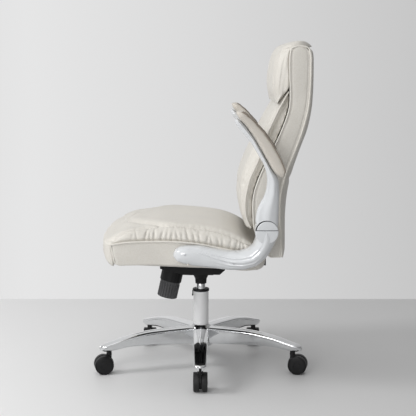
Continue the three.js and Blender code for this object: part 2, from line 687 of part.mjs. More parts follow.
function leftBracket() {
  const gap = 0.7;
  const ear = joined(
    solid(sideSlab(BRACKET_LINE, BRACKET_INNER, EAR_OUTER)),
    hingeDisc(HINGE_RADIUS, BRACKET_INNER, EAR_OUTER),
  );
  const waist = without(
    solid(sideSlab(BRACKET_LINE, EAR_OUTER, ARM_DISC_OUTER + GAP)),
    hingeDisc(HINGE_RADIUS + gap, EAR_OUTER, ARM_DISC_OUTER + GAP + 1),
  );
  const cover = joined(
    solid(sideSlab(BRACKET_LINE, ARM_DISC_OUTER + GAP, ARM_OUTER)),
    hingeDisc(HINGE_RADIUS, ARM_DISC_OUTER + GAP, ARM_OUTER),
  );
  const aboveCover = box(ARM_DISC_OUTER + GAP, ARM_OUTER + 5, 140, 250, HINGE_Z + 4, 560);
  // Seen from above, the bracket is thin along the seat and swells outwards to the hinge.
  const plan = points([
    [BRACKET_INNER - 1, -100], [296, -100], [300, -60], [302, 20], [308, 80], [322, 125],
    [ARM_OUTER, 160], [ARM_OUTER, 240], [BRACKET_INNER - 1, 240],
  ]);
  const pinBore = hingePin(RUNNING_GAP, BRACKET_INNER - 5, EAR_OUTER + 1);
  const body = joined(ear, waist, without(cover, solid(aboveCover)));
  return body.intersect(solid(planSlab(plan, 350, 560))).subtract(pinBore);
}

function leftArm() {
  const inner = joined(
    solid(sideSlab(ARM_LINE, ARM_INNER, ARM_DISC_OUTER)),
    hingeDisc(HINGE_RADIUS, ARM_INNER, ARM_DISC_OUTER),
  );
  const outer = without(
    solid(sideSlab(ARM_LINE, ARM_DISC_OUTER, ARM_OUTER)),
    hingeDisc(HINGE_RADIUS + 0.7, ARM_DISC_OUTER - 1, ARM_OUTER + 1),
  );
  const pinBore = hingePin(RUNNING_GAP, ARM_INNER - 1, ARM_DISC_OUTER + 1);
  return joined(inner, outer).subtract(pinBore);
}

function addArms() {
  const ringProfile = solid(crossRod(24, EAR_OUTER + GAP, ARM_INNER - GAP, HINGE_Y, HINGE_Z, 16));
  const pieces = {
    arm_bracket: [leftBracket(), "arm_paint"],
    arm_frame: [leftArm(), "arm_paint"],
    arm_pad: [
      solid(sideSlab(PAD_LINE, PAD_CENTRE - PAD_HALF_WIDTH, PAD_CENTRE + PAD_HALF_WIDTH)),
      "arm_leather",
    ],
    hinge_pin: [hingePin(0, 251, ARM_DISC_OUTER - 1), "steel"],
    friction_washer: [ringProfile.subtract(hingePin(GAP, 280, 290)), "steel"],
  };
  for (const [name, [body, finish]] of Object.entries(pieces)) {
    addPiece(`${name}_left`, surface(body), finish);
    addPiece(`${name}_right`, surface(body.mirror([1, 0, 0])), finish);
  }
}

for (let number = 1; number <= LEG_COUNT; number++) addCaster(number);
addBase();
addGasLift();
addMechanism();
addTensionKnob();
addSeat();
addBack();
addArms();

export default chair;
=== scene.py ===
import math

import bmesh
import bpy
import numpy as np
from mathutils import Matrix, Vector
from mathutils.bvhtree import BVHTree


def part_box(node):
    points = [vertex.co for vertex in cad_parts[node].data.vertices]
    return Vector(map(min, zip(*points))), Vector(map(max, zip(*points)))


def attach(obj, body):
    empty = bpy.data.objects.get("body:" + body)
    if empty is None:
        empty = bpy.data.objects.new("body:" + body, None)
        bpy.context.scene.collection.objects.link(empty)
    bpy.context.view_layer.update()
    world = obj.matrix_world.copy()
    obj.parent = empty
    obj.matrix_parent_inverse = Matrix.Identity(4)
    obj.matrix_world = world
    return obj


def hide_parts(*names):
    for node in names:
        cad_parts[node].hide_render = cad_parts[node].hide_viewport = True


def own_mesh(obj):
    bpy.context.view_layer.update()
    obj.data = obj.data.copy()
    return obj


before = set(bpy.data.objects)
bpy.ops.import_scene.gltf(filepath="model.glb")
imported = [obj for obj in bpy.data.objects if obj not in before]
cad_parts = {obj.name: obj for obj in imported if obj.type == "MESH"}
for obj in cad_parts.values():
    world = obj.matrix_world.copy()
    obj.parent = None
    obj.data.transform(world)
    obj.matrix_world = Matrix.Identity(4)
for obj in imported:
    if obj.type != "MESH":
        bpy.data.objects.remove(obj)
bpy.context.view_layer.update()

MM = 0.001
SCENE = bpy.context.scene
SIDES = (("left", 1), ("right", -1))


# ---------- camera, stage and light ----------
def add_camera():
    data = bpy.data.cameras.new("camera")
    data.lens = 94.6
    data.sensor_width = 36
    camera = bpy.data.objects.new("camera", data)
    camera.location = (3.5, 0.0231, 0.996)
    camera.rotation_euler = (math.radians(82.28), 0, math.radians(90))
    SCENE.collection.objects.link(camera)
    SCENE.camera = camera


def area_light(name, location, target, size, power):
    data = bpy.data.lights.new(name, "AREA")
    data.shape = "SQUARE"
    data.size = size
    data.energy = power
    light = bpy.data.objects.new(name, data)
    light.location = location
    light.rotation_euler = (Vector(target) - Vector(location)).to_track_quat("-Z", "Y").to_euler()
    SCENE.collection.objects.link(light)


def add_lights():
    area_light("key_light", (0.85, -2.8, 2.6), (0, 0, 0.4), 1.1, 47)
    area_light("fill_light", (3.2, -1.2, 1.6), (0, 0, 0.5), 1.2, 33)
    area_light("top_light", (0.4, -0.5, 3.4), (0, 0, 0.3), 2.4, 8)


def add_world():
    """A pale studio: brightest in front of the chair and dimmer behind it."""
    world = bpy.data.worlds.new("studio")
    SCENE.world = world
    world.use_nodes = True
    sky = Nodes(world.node_tree, "Generated")
    span = sky.range(sky.place_along("Y"), 0, 1, -1, 1)
    ramp = sky.add("ValToRGB")
    places, levels = (0.0, 0.37, 0.42, 0.5, 0.59, 1.0), (0.44, 0.74, 0.79, 0.70, 0.575, 0.15)
    for place in places[1:-1]:
        ramp.color_ramp.elements.new(place)
    for element, level in zip(ramp.color_ramp.elements, levels):
        element.color = (level, level, level * 1.002, 1)
    sky.link(span, ramp.inputs[0])
    sky.link(ramp.outputs[0], sky.tree.nodes["Background"].inputs["Color"])


# ---------- materials ----------
class Nodes:
    """A node tree that works from one kind of place, and short ways to add to it."""

    def __init__(self, tree, place):
        self.tree = tree
        self.place = self.add("TexCoord").outputs[place]

    def add(self, kind, **values):
        node = self.tree.nodes.new("ShaderNode" + kind)
        for key, value in values.items():
            socket = node.inputs.get(key.replace("_", " "))
            if socket is not None:
                socket.default_value = value
            else:
                setattr(node, key, value)
        return node

    def link(self, source, target):
        self.tree.links.new(source, target)

    def noise(self, scale, detail=3.0, roughness=0.55, stretch=None):
        node = self.add("TexNoise", Scale=scale, Detail=detail, Roughness=roughness)
        source = self.place
        if stretch:
            mapping = self.add("Mapping", Scale=stretch)
            self.link(source, mapping.inputs[0])
            source = mapping.outputs[0]
        self.link(source, node.inputs["Vector"])
        return node.outputs["Fac"]

    def cells(self, scale):
        node = self.add("TexVoronoi", Scale=scale)
        self.link(self.place, node.inputs["Vector"])
        return node.outputs["Distance"]

    def ramp(self, value, low, high, start=0.3, end=0.7):
        node = self.add("ValToRGB")
        for stop, place, colour in zip(node.color_ramp.elements, (start, end), (low, high)):
            stop.position = place
            stop.color = (*colour, 1)
        self.link(value, node.inputs["Fac"])
        return node.outputs["Color"]

    def range(self, value, low, high, start=0.3, end=0.7):
        node = self.add("MapRange", From_Min=start, From_Max=end, To_Min=low, To_Max=high)
        self.link(value, node.inputs["Value"])
        return node.outputs["Result"]

    def math(self, operation, a, b):
        node = self.add("Math", operation=operation)
        for socket, value in zip(node.inputs, (a, b)):
            if isinstance(value, float):
                socket.default_value = value
            else:
                self.link(value, socket)
        return node.outputs[0]

    def bump(self, height, strength, distance, below=None):
        node = self.add("Bump", Strength=strength, Distance=distance)
        self.link(height, node.inputs["Height"])
        if below is not None:
            self.link(below, node.inputs["Normal"])
        return node.outputs["Normal"]

    def place_along(self, axis):
        split = self.add("SeparateXYZ")
        self.link(self.place, split.inputs[0])
        return split.outputs[axis]


class Finish(Nodes):
    """A material with one Principled shader."""

    def __init__(self, name, colour, roughness, **sockets):
        self.material = bpy.data.materials.new(name)
        self.material.use_nodes = True
        super().__init__(self.material.node_tree, "Object")
        self.inputs = self.tree.nodes["Principled BSDF"].inputs
        for socket, value in {"Base_Color": (*colour, 1), "Roughness": roughness, **sockets}.items():
            self.inputs[socket.replace("_", " ")].default_value = value

    def set(self, socket, value):
        self.link(value, self.inputs[socket])


def shade(colour, factor):
    return tuple(c * factor for c in colour)


def leather(name, colour, roughness=0.46, grain=430.0):
    """Pebbled leather: fine cells under a soft unevenness, and painted slightly darker and warmer in its hollows as
    their shade.
    """
    f = Finish(name, colour, roughness, Specular_IOR_Level=0.42)
    broad = f.noise(9.0, 4.0)
    fine = f.noise(620.0, 2.0)
    pebble = f.cells(grain)
    worn = f.ramp(broad, shade(colour, 0.94), shade(colour, 1.03))
    # Painted shade: the base colour is darkened and warmed towards the pebbles' hollows.
    hollow = f.ramp(pebble, (1, 1, 1), (0.93, 0.915, 0.89), 0.25, 0.75)
    tone = f.add("MixRGB", blend_type="MULTIPLY", Fac=1.0)
    f.link(worn, tone.inputs["Color1"])
    f.link(hollow, tone.inputs["Color2"])
    f.set("Base Color", tone.outputs["Color"])
    mixed = f.math("ADD", broad, f.math("MULTIPLY", fine, 0.5))
    f.set("Roughness", f.range(mixed, roughness - 0.09, roughness + 0.1, 0.4, 1.1))
    creases = f.bump(f.noise(70.0, 5.0, 0.6), 0.12, 0.0016)
    pebbled = f.bump(pebble, 0.30, 0.00045, creases)
    f.set("Normal", f.bump(fine, 0.12, 0.0002, pebbled))
    return f.material


def paint(name, colour, roughness, coat=0.6):
    """Glossy moulded or painted surface with a faint orange peel."""
    f = Finish(name, colour, roughness, Coat_Weight=coat, Coat_Roughness=0.06)
    broad = f.noise(14.0, 3.0)
    f.set("Base Color", f.ramp(broad, shade(colour, 0.965), shade(colour, 1.02)))
    f.set("Roughness", f.range(f.noise(60.0, 4.0), roughness - 0.05, roughness + 0.06))
    f.set("Normal", f.bump(f.noise(240.0, 2.0), 0.05, 0.0004))
    return f.material


def metal(name, colour, roughness, brushed=None, bump=0.03):
    """Plated or bare metal, brushed along the axis with the smallest stretch."""
    f = Finish(name, colour, roughness, Metallic=1.0)
    smudge = f.noise(22.0, 5.0, 0.65)
    f.set("Base Color", f.ramp(smudge, shade(colour, 0.93), shade(colour, 1.03), 0.3, 0.75))
    f.set("Roughness", f.range(smudge, max(roughness - 0.03, 0.02), roughness + 0.07, 0.3, 0.75))
    lines = f.noise(300.0, 2.0, 0.5, brushed) if brushed else f.noise(110.0, 3.0)
    f.set("Normal", f.bump(lines, bump, 0.0003))
    return f.material


def plastic(name, colour, roughness, texture=900.0, bump=0.2):
    """Moulded plastic or powder coat with a fine spark-eroded texture."""
    f = Finish(name, colour, roughness, Specular_IOR_Level=0.28)
    speck = f.noise(texture, 2.0)
    wear = f.noise(30.0, 5.0, 0.6)
    f.set("Base Color", f.ramp(wear, shade(colour, 0.85), shade(colour, 1.25), 0.3, 0.75))
    f.set("Roughness", f.range(wear, roughness - 0.08, roughness + 0.1, 0.3, 0.75))
    f.set("Normal", f.bump(speck, bump, 0.0003))
    return f.material


def plywood(name):
    f = Finish(name, (0.47, 0.3, 0.15), 0.62)
    figure = f.noise(26.0, 6.0, 0.65, (1.0, 0.12, 6.0))
    f.set("Base Color", f.ramp(figure, (0.36, 0.21, 0.1), (0.6, 0.41, 0.23)))
    f.set("Roughness", f.range(figure, 0.5, 0.75))
    f.set("Normal", f.bump(figure, 0.25, 0.0006))
    return f.material


def non_woven(name):
    f = Finish(name, (0.012, 0.012, 0.013), 0.92, Sheen_Weight=0.25)
    points = f.cells(520.0)
    fibres = f.noise(1500.0, 4.0, 0.7)
    f.set("Base Color", f.ramp(points, (0.008, 0.008, 0.009), (0.022, 0.022, 0.024), 0.2, 0.6))
    f.set("Roughness", f.range(fibres, 0.82, 0.98))
    f.set("Normal", f.bump(f.math("ADD", points, f.math("MULTIPLY", fibres, 0.5)), 0.4, 0.0004))
    return f.material


IVORY = (0.665, 0.645, 0.602)
LEATHER = leather("ivory_leather", IVORY)
# The rear cover's leather is the ivory painted 7% darker: painted shade for the back's shaded rear.
SHADED_REAR_LEATHER = leather("rear_leather_painted_shade", shade(IVORY, 0.93))
# The piping is the ivory painted 6% lighter: a painted highlight on its round beads.
LIT_PIPING_LEATHER = leather("piping_leather_painted_highlight", shade(IVORY, 1.06), 0.4, 700.0)
# The seam beads' leather is the ivory at 30%: painted shadow in the seams.
SEAM_SHADOW_LEATHER = leather("seam_shadow", shade(IVORY, 0.3), 0.8, 900.0)
ARM_LEATHER = leather("beige_arm_leather", (0.60, 0.565, 0.515), 0.42, 480.0)
ARM_TRIM = leather("taupe_arm_trim", (0.26, 0.215, 0.175), 0.45, 480.0)
ARM_PAINT = paint("pearl_white_paint", (0.64, 0.655, 0.67), 0.2)
WHITE_STEEL = paint("white_tube_enamel", (0.80, 0.80, 0.805), 0.16, 0.8)
CHROME = metal("chrome", (0.80, 0.81, 0.82), 0.05)
STEEL = metal("zinc_steel", (0.5, 0.51, 0.53), 0.3, (1.0, 1.0, 0.05), 0.12)
BLACK_STEEL = plastic("black_powder_coat", (0.005, 0.005, 0.0055), 0.5, 1100.0)
BLACK_PLASTIC = plastic("black_moulded_plastic", (0.006, 0.006, 0.0065), 0.45)
KNOB_PLASTIC = plastic("charcoal_knob_plastic", (0.075, 0.075, 0.078), 0.4)
WHEEL_PLASTIC = plastic("caster_nylon", (0.008, 0.008, 0.0085), 0.42)
TREAD = plastic("caster_tread", (0.018, 0.018, 0.0185), 0.5)
PLYWOOD = plywood("plywood")
DUST_FABRIC = non_woven("dust_cloth")


# ---------- mesh helpers ----------
def new_piece(name, vertices, faces, material, angle=None):
    """A smooth object from vertices and faces, its faces turned outwards and its sharp edges kept."""
    mesh = bpy.data.meshes.new(name)
    mesh.from_pydata([tuple(v) for v in vertices], [], [tuple(f) for f in faces])
    bm = bmesh.new()
    bm.from_mesh(mesh)
    bmesh.ops.remove_doubles(bm, verts=bm.verts, dist=1e-6)
    bmesh.ops.recalc_face_normals(bm, faces=bm.faces)
    bm.to_mesh(mesh)
    bm.free()
    piece = bpy.data.objects.new(name, mesh)
    SCENE.collection.objects.link(piece)
    return shaded(piece, material, angle)


def shaded(piece, material, angle=None):
    piece.data.materials.clear()
    piece.data.materials.append(material)
    piece.data.polygons.foreach_set("use_smooth", [True] * len(piece.data.polygons))
    if angle:
        piece.data.set_sharp_from_angle(angle=math.radians(angle))
    return piece


def grid_faces(rows, columns, closed):
    """Quads over a grid of vertices, closed round each row or open."""
    faces = []
    for r in range(rows - 1):
        for c in range(columns if closed else columns - 1):
            n = (c + 1) % columns
            faces.append((r * columns + c, r * columns + n, (r + 1) * columns + n, (r + 1) * columns + c))
    return faces


def loft(name, rings, material, angle=None, closed=False):
    """A closed body through rings of points. A ring of rings is closed on itself, and the others are capped."""
    rings = np.asarray(rings, float)
    rows, columns = rings.shape[:2]
    vertices = list(rings.reshape(-1, 3))
    faces = grid_faces(rows, columns, True)
    if closed:
        last = (rows - 1) * columns
        faces += [(last + c, last + (c + 1) % columns, (c + 1) % columns, c) for c in range(columns)]
    else:
        for row in (0, rows - 1):
            centre = len(vertices)
            vertices.append(rings[row].mean(0))
            faces += [(centre, row * columns + c, row * columns + (c + 1) % columns) for c in range(columns)]
    return new_piece(name, vertices, faces, material, angle)


def lathe(name, profile, material, axis="Z", at=(0, 0, 0), segments=64, angle=35):
    """A closed profile of (radius, height) in millimetres turned about an axis through a point."""
    radius, height = np.array(profile, float).T * MM
    rings = []
    for a in ring_turns(segments):
        u, v = radius * math.cos(a), radius * math.sin(a)
        ring = {"Z": (u, v, height), "X": (height, u, v)}[axis]
        rings.append(np.stack(ring, 1) + np.array(at))
    return loft(name, rings, material, angle, closed=True)


def resample(points, count):
    """A smooth Catmull-Rom line through the points, as evenly spaced points."""
    p = np.asarray(points, float)
    p = np.vstack([2 * p[0] - p[1], p, 2 * p[-1] - p[-2]])
    t = np.linspace(0, 1, 24, endpoint=False)[:, None]
    line = []
    for a, b, c, d in zip(p, p[1:], p[2:], p[3:]):
        square, cube = 2 * a - 5 * b + 4 * c - d, 3 * b - a - 3 * c + d
        line.append(0.5 * (2 * b + (c - a) * t + square * t**2 + cube * t**3))
    line = np.vstack([*line, p[-2]])
    run = np.concatenate([[0], np.cumsum(np.linalg.norm(np.diff(line, axis=0), axis=1))])
    places = np.linspace(0, run[-1], count)
    return np.stack([np.interp(places, run, line[:, i]) for i in range(line.shape[1])], 1)


def tube(name, path, radius, material, sides=10):
    """A round bead along a path of points."""
    path = np.asarray(path, float)
    tangents = np.gradient(path, axis=0)
    tangents /= np.linalg.norm(tangents, axis=1)[:, None]
    side = np.cross(tangents[0], (0.31, 0.52, 0.79))
    rings = []
    for p, t in zip(path, tangents):
        side = side - t * (side @ t)
        side /= np.linalg.norm(side)
        up = np.cross(t, side)
        rings.append([p + radius * (math.cos(a) * side + math.sin(a) * up) for a in ring_turns(sides)])
    return loft(name, rings, material)


def modifier_on(piece, kind, **settings):
    modifier = piece.modifiers.new(kind.lower(), kind)
    for name, value in settings.items():
        setattr(modifier, name, value)
    return modifier


def modified(piece, kind, **settings):
    """Applies one modifier to the piece's mesh."""
    modifier_on(piece, kind, **settings)
    graph = bpy.context.evaluated_depsgraph_get()
    graph.update()
    made = bpy.data.meshes.new_from_object(piece.evaluated_get(graph))
    piece.modifiers.clear()
    piece.data = made
    return piece


def bevelled(piece, width, segments=3, angle=35):
    limit = math.radians(angle)
    return modified(piece, "BEVEL", width=width, segments=segments, limit_method="ANGLE", angle_limit=limit)


def cut(piece, tool):
    """Cuts another object out of the piece and removes it."""
    modified(piece, "BOOLEAN", operation="DIFFERENCE", solver="EXACT", object=tool)
    bpy.data.objects.remove(tool)


def joined(piece, *others):
    """Joins other objects' meshes into the piece, and removes them. Each keeps its own material."""
    bm = bmesh.new()
    bm.from_mesh(piece.data)
    for other in others:
        material = other.data.materials[0]
        names = [m.name for m in piece.data.materials]
        if material.name not in names:
            piece.data.materials.append(material)
            names.append(material.name)
        start = len(bm.faces)
        bm.from_mesh(other.data)
        bm.faces.ensure_lookup_table()
        for face in bm.faces[start:]:
            face.material_index = names.index(material.name)
        bpy.data.objects.remove(other)
    bm.to_mesh(piece.data)
    bm.free()
    return piece


def points_of(piece):
    data = np.empty(len(piece.data.vertices) * 3)
    piece.data.vertices.foreach_get("co", data)
    return data.reshape(-1, 3)


def normals_of(piece):
    data = np.empty(len(piece.data.vertices) * 3, np.float32)
    piece.data.vertex_normals.foreach_get("vector", data)
    return data.reshape(-1, 3).astype(float)


def move_points(piece, points):
    piece.data.vertices.foreach_set("co", points.astype(np.float32).ravel())
    piece.data.update()


def inflated(piece, allowed, most):
    """Cloth simulation under pressure. A point moves at most so far, and not at all where allowed() is 0."""
    before = points_of(piece)
    share = allowed(*before.T)[:, None]
    inset = before - normals_of(piece) * share * most * 0.55
    move_points(piece, inset)
    modifier = modifier_on(piece, "CLOTH")
    settings = modifier.settings
    settings.use_pressure = True
    settings.uniform_pressure_force = 4
    settings.effector_weights.gravity = 0
    modifier.point_cache.frame_start = 1
    modifier.point_cache.frame_end = 20
    for number in range(1, 21):
        SCENE.frame_set(number)
    graph = bpy.context.evaluated_depsgraph_get()
    swollen = np.empty(len(before) * 3)
    piece.evaluated_get(graph).data.vertices.foreach_get("co", swollen)
    piece.modifiers.clear()
    SCENE.frame_set(1)
    move = swollen.reshape(-1, 3) - inset
    length = np.linalg.norm(move, axis=1)[:, None]
    move *= np.minimum(1, most / np.maximum(length, 1e-9)) * share
    move_points(piece, inset + move)


def sculpted(piece, depth_at):
    """Moves each point along its normal by depth_at() of its place and its normal, in metres."""
    points, normals = points_of(piece), normals_of(piece)
    move_points(piece, points + normals * depth_at(*points.T, *normals.T)[:, None])


def add_cushion(name, rings, voxel, free, most, detail, node):
    """A stuffed leather piece: its rings in even cells, swollen where free() lets it, with detail() pressed in."""
    piece = loft(name, rings, LEATHER)
    modified(piece, "REMESH", mode="VOXEL", voxel_size=voxel, use_smooth_shade=True)
    modified(piece, "SMOOTH", factor=0.5, iterations=6)
    inflated(piece, free, most)
    modified(piece, "SUBSURF", levels=1, render_levels=1)
    sculpted(piece, detail)
    shaded(piece, LEATHER)
    finished(piece, "seat", [node])


def step(value, low, high):
    t = np.clip((value - low) / (high - low), 0, 1)
    return t * t * (3 - 2 * t)


def hump(value, width):
    return np.exp(-((value / width) ** 2))


def channel(away, depth, width, thread=0.0014, fine=0.0018):
    """A sewn channel's depth: a soft hollow, and the thread's own groove along its bottom."""
    return depth * hump(away, width) + thread * hump(away, fine)


def signed_power(value, power):
    """A sine or cosine to a power with its sign kept, which squares off a round section."""
    return np.sign(value) * np.abs(value) ** power


def row(x, y, z):
    """Points from three coordinates, each one value or a value for each point."""
    return np.stack(np.broadcast_arrays(x, y, z), 1)


def ring_turns(count):
    return np.linspace(0, 2 * math.pi, count, endpoint=False)


def smooth_line(places, values):
    """A smooth function through values at places."""
    xs, ys = np.asarray(places, float), np.asarray(values, float)
    gaps, rises = np.diff(xs), np.diff(ys)
    rates = rises / gaps
    inner = (rates[:-1] * gaps[1:] + rates[1:] * gaps[:-1]) / (gaps[1:] + gaps[:-1])
    slopes = np.concatenate([[rates[0]], inner, [rates[-1]]])

    def at(x):
        x = np.clip(x, xs[0], xs[-1])
        i = np.clip(np.searchsorted(xs, x) - 1, 0, len(xs) - 2)
        h = gaps[i]
        t = (x - xs[i]) / h
        return (
            ys[i] * (1 + 2 * t) * (1 - t) ** 2
            + ys[i + 1] * t**2 * (3 - 2 * t)
            + h * slopes[i] * t * (1 - t) ** 2
            - h * slopes[i + 1] * t**2 * (1 - t)
        )

    return at


def outline(node, axis, across, places=None):
    """Functions of the place along an axis, read off a lofted CAD node: its half width, its lowest and highest place
    across, and the lowest one at its widest."""
    points = points_of(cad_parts[node])
    if places is None:
        places = np.unique(np.round(points[:, axis], 4))
    rows = []
    for place in places:
        ring = points[np.abs(points[:, axis] - place) < 1.2e-4]
        edge = ring[np.abs(ring[:, 0]) > np.abs(ring[:, 0]).max() - 1e-4]
        rows.append((np.abs(ring[:, 0]).max(), ring[:, across].min(), ring[:, across].max(), edge[:, across].min()))
    return places, [smooth_line(places, column) for column in zip(*rows)]


def finished(piece, body, replaces=()):
    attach(piece, body)
    if replaces:
        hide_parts(*replaces)
    return piece


def wrinkles(seed, start, end, spacing):
    """Places along a seam where it gathers, with each one's depth, length and lean."""
    rng = np.random.default_rng(seed)
    count = int((end - start) / spacing)
    places = np.linspace(start, end, count) + rng.uniform(-0.25, 0.25, count) * spacing
    ranges = (0.55, 1.15), (0.7, 1.2), (-0.3, 0.3)
    return list(zip(places, *(rng.uniform(low, high, count) for low, high in ranges)))


def gathers(along, away, marks, depth, width, length):
    """How deep each point lies in the short folds that leave a seam. away is its distance from the seam, above 0 on
    the gathered side."""
    total = np.zeros_like(along)
    for place, strong, long, lean in marks:
        reach = hump(np.maximum(away, 0), length * long) * step(away, -0.0005, 0.003)
        apart = along - place - lean * away
        total += strong * (0.6 * hump(apart, width) + 0.4 * np.exp(-np.abs(apart) / (0.45 * width))) * reach
    return depth * total


# ---------- seat ----------
SEAT_PLACES, (_, SEAT_SEAM, SEAT_CROWN, _) = outline("seat_cushion", 1, 2)
_, (_, SEAT_UNDER, _, _) = outline("seat_band", 1, 2, SEAT_PLACES)
SEAT_LOW, SEAT_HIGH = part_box("seat_band")
SEAM_DROP = smooth_line([-0.25, -0.17, -0.115, -0.04, 0.04, 0.1], [0.0, 0.0055, 0.0068, 0.0066, 0.0078, 0.009])
CROWN_DROP = smooth_line(
    [-0.31, -0.29, -0.265, -0.225, -0.2, -0.14, -0.08, 0.0, 0.07],
    [0.003, 0.006, 0.007, 0.005, 0.0065, 0.0065, 0.0055, 0.004, 0.0],
)


def seat_seam(y):
    return SEAT_SEAM(y) - SEAM_DROP(y)


def seat_crown(y):
    return SEAT_CROWN(y) - CROWN_DROP(y)


SEAT_HALF = SEAT_HIGH.x
FRONT_SEAM = -0.268  # where the front panel meets the side bands
CORNER_START = -0.253  # where the seat's plan starts to round off towards the front
SEAM_SLANT = 0.013  # how far the front seam leans back on its way down
SIDE_ROLL = smooth_line(
    [-0.32, -0.26, -0.2, -0.1, 0.0, 0.08, 0.14, 0.2],
    [0.97, 0.935, 0.875, 0.845, 0.86, 0.89, 0.92, 0.95],
)
VALLEY_FRONT, VALLEY_DEPTH, VALLEY_POWER = -0.238, 0.118, 1.8  # the curved seam between the crown and the front roll
SEAT_HOLLOW = (0.165, -0.205)  # middle of the dip at each end of the front roll


def seat_half_width(y):
    front = np.clip((CORNER_START - y) / (CORNER_START - SEAT_LOW.y + 0.0015), 0, 1)
    rear = np.clip((y - 0.13) / 0.07, 0, 1)
    return SEAT_HALF * (1 - front**2.6) ** (1 / 2.6) - 0.014 * rear**2


def crown_height(t):
    return np.maximum(1 - np.abs(t) ** 6, 0) ** 0.4


def seam_lean(z):
    return SEAM_SLANT * np.clip((0.446 - z) / 0.065, 0, 1)


def add_seat_cushion():
    """The seat's top: a broad crown inside gathered side rolls, and a front roll that goes on down the front."""
    nose = SEAT_LOW.y + 0.048 * np.linspace(0, 1, 14) ** 1.6
    depths = np.concatenate([nose, np.linspace(FRONT_SEAM + 0.004, SEAT_PLACES[-1], 60)])
    turns = np.linspace(0, math.pi, 49)
    rings = []
    for y in depths:
        width, seam = seat_half_width(y) - 0.001, seat_seam(y)
        low = SEAT_UNDER(y) - 0.009 * step(y, -0.302, -0.276) if y < FRONT_SEAM else seam - 0.014
        z = seam + np.maximum(seat_crown(y) - seam, 0.002) * np.sin(turns) ** 0.8
        side = np.linspace(0, 1, 12)[1:-1]
        ahead = 1 - step(y, SEAT_LOW.y + 0.004, FRONT_SEAM - 0.014)
        round_in = 1 - (0.012 + 0.108 * ahead) * side**3
        left = row(-width * round_in, y, seam + (low - seam) * side)
        base = row(width * (1.045 - 0.185 * ahead) * np.linspace(-1, 1, 23)[1:-1], y, low)
        over = row(width * signed_power(np.cos(turns), 1 / 3), y, z)
        ring = np.vstack([over, left, base, left[::-1] * (-1, 1, 1)])
        ring[:, 1] += 0.005 * (1 - step(y, SEAT_LOW.y, SEAT_LOW.y + 0.03))
        if y < FRONT_SEAM:
            ring[:, 1] += seam_lean(ring[:, 2]) * step(y, SEAT_LOW.y + 0.012, FRONT_SEAM)
        rings.append(ring)
    tip = rings[0]
    middle = tip.mean(0)
    shrunk = [middle + (tip - middle) * (k, 1, k) - (0, back, 0) for k, back in ((0.45, 0.0022), (0.8, 0.0014))]

    def free(x, y, z):
        above = step(z - seat_seam(y), 0.002, 0.018) * step(y, -0.308, -0.285)
        ahead = 0.3 * (1 - step(y, -0.300, -0.285))
        return np.maximum(above, ahead) * (1 - 0.85 * step(y, 0.13, 0.165))

    pleats = wrinkles(3, -0.205, 0.155, 0.0158)
    puckers = wrinkles(5, -0.2, 0.12, 0.0088)
    front_puckers = wrinkles(8, -0.19, 0.19, 0.014)

    def detail(across, y, z, nx, ny, nz):
        x = np.abs(across)
        width, seam = seat_half_width(y), seat_seam(y)
        height = z - seam
        rise = np.maximum(seat_crown(y) - seam, 0.004)
        behind = step(y, FRONT_SEAM - 0.004, FRONT_SEAM + 0.012)
        side = step(x / np.maximum(width, 0.02), 0.72, 0.9) * behind
        low_edge = step(height, -0.004, 0.002)
        move = -0.0095 * hump(height - 0.0015, 0.0056) * side * low_edge
        strong = step(y, -0.235, -0.15)
        move -= gathers(y, height, pleats, 0.0088, 0.0038, 0.024) * side * strong * low_edge * step(nz, 1.2, 0.7)
        move += 0.0042 * hump(height - 0.019, 0.012) * side * low_edge
        # The upper seam of the side roll
        t = SIDE_ROLL(y)
        seam_x, seam_z = t * width, seam + rise * crown_height(t)
        apart = np.hypot(x - seam_x, z - seam_z)
        outside = np.where(x > seam_x, apart, -apart)
        rear_fade = 1 - 0.35 * step(y, 0.1, 0.19)
        along_side = step(y, -0.292, -0.262) * rear_fade
        move -= channel(apart, 0.0058, 0.0085, 0.0016) * along_side
        move -= gathers(y, outside, puckers, 0.0026, 0.0026, 0.015) * along_side
        move -= gathers(y, -outside, puckers[::2], 0.0016, 0.0040, 0.018) * along_side
        # The valley between the crown and the front roll
        inner = 0.83 * SEAT_HALF
        share = np.minimum(x / inner, 1.1)
        curve = VALLEY_FRONT + VALLEY_DEPTH * share**VALLEY_POWER
        slope = VALLEY_DEPTH * VALLEY_POWER * share ** (VALLEY_POWER - 1) / inner
        ahead = (y - curve) / np.sqrt(1 + slope**2)
        on_top = step(nz, 0.25, 0.6) * (1 - step(x, inner, inner + 0.012))
        move -= channel(ahead, 0.0062, 0.010, 0.0015) * on_top
        move += 0.0020 * hump(ahead - 0.030, 0.024) * on_top
        dip = hump(np.hypot(x - SEAT_HOLLOW[0], y - SEAT_HOLLOW[1]), 0.040)
        move -= 0.0065 * dip * step(-ahead, -0.004, 0.006) * on_top
        move -= gathers(across, ahead, front_puckers, 0.0010, 0.0035, 0.016) * on_top
        # Soft unevenness
        uneven = np.sin(31 * x + 17 * y + 1.3) * np.sin(23 * y - 11 * x) + 0.6 * np.sin(57 * y + 41 * z)
        return move + 0.0007 * uneven * step(height, 0.006, 0.03)

    add_cushion("seat_top_leather", [*shrunk, *rings], 0.005, free, 0.007, detail, "seat_cushion")


def seat_plan():
    """The seat band's outer line in plan, from the front seam on one side round the rear to the other."""
    rear, radius = SEAT_HIGH.y, 0.03
    side_y = np.linspace(FRONT_SEAM - 0.015, rear - radius, 94)
    tucked = 0.006 * (1 - step(side_y, FRONT_SEAM - 0.011, FRONT_SEAM - 0.002))
    side = np.stack([seat_half_width(side_y) - tucked, side_y], 1)
    width = seat_half_width(rear - radius)
    turn = np.linspace(0, math.pi / 2, 14)[1:]
    corner = np.stack([width - radius + radius * np.cos(turn), rear - radius + radius * np.sin(turn)], 1)
    back = np.linspace(width - radius, 0, 24)[1:, None] * (1, 0) + (0, rear)
    half = np.vstack([side, corner, back])
    return np.vstack([half, (half[:-1] * (-1, 1))[::-1]])


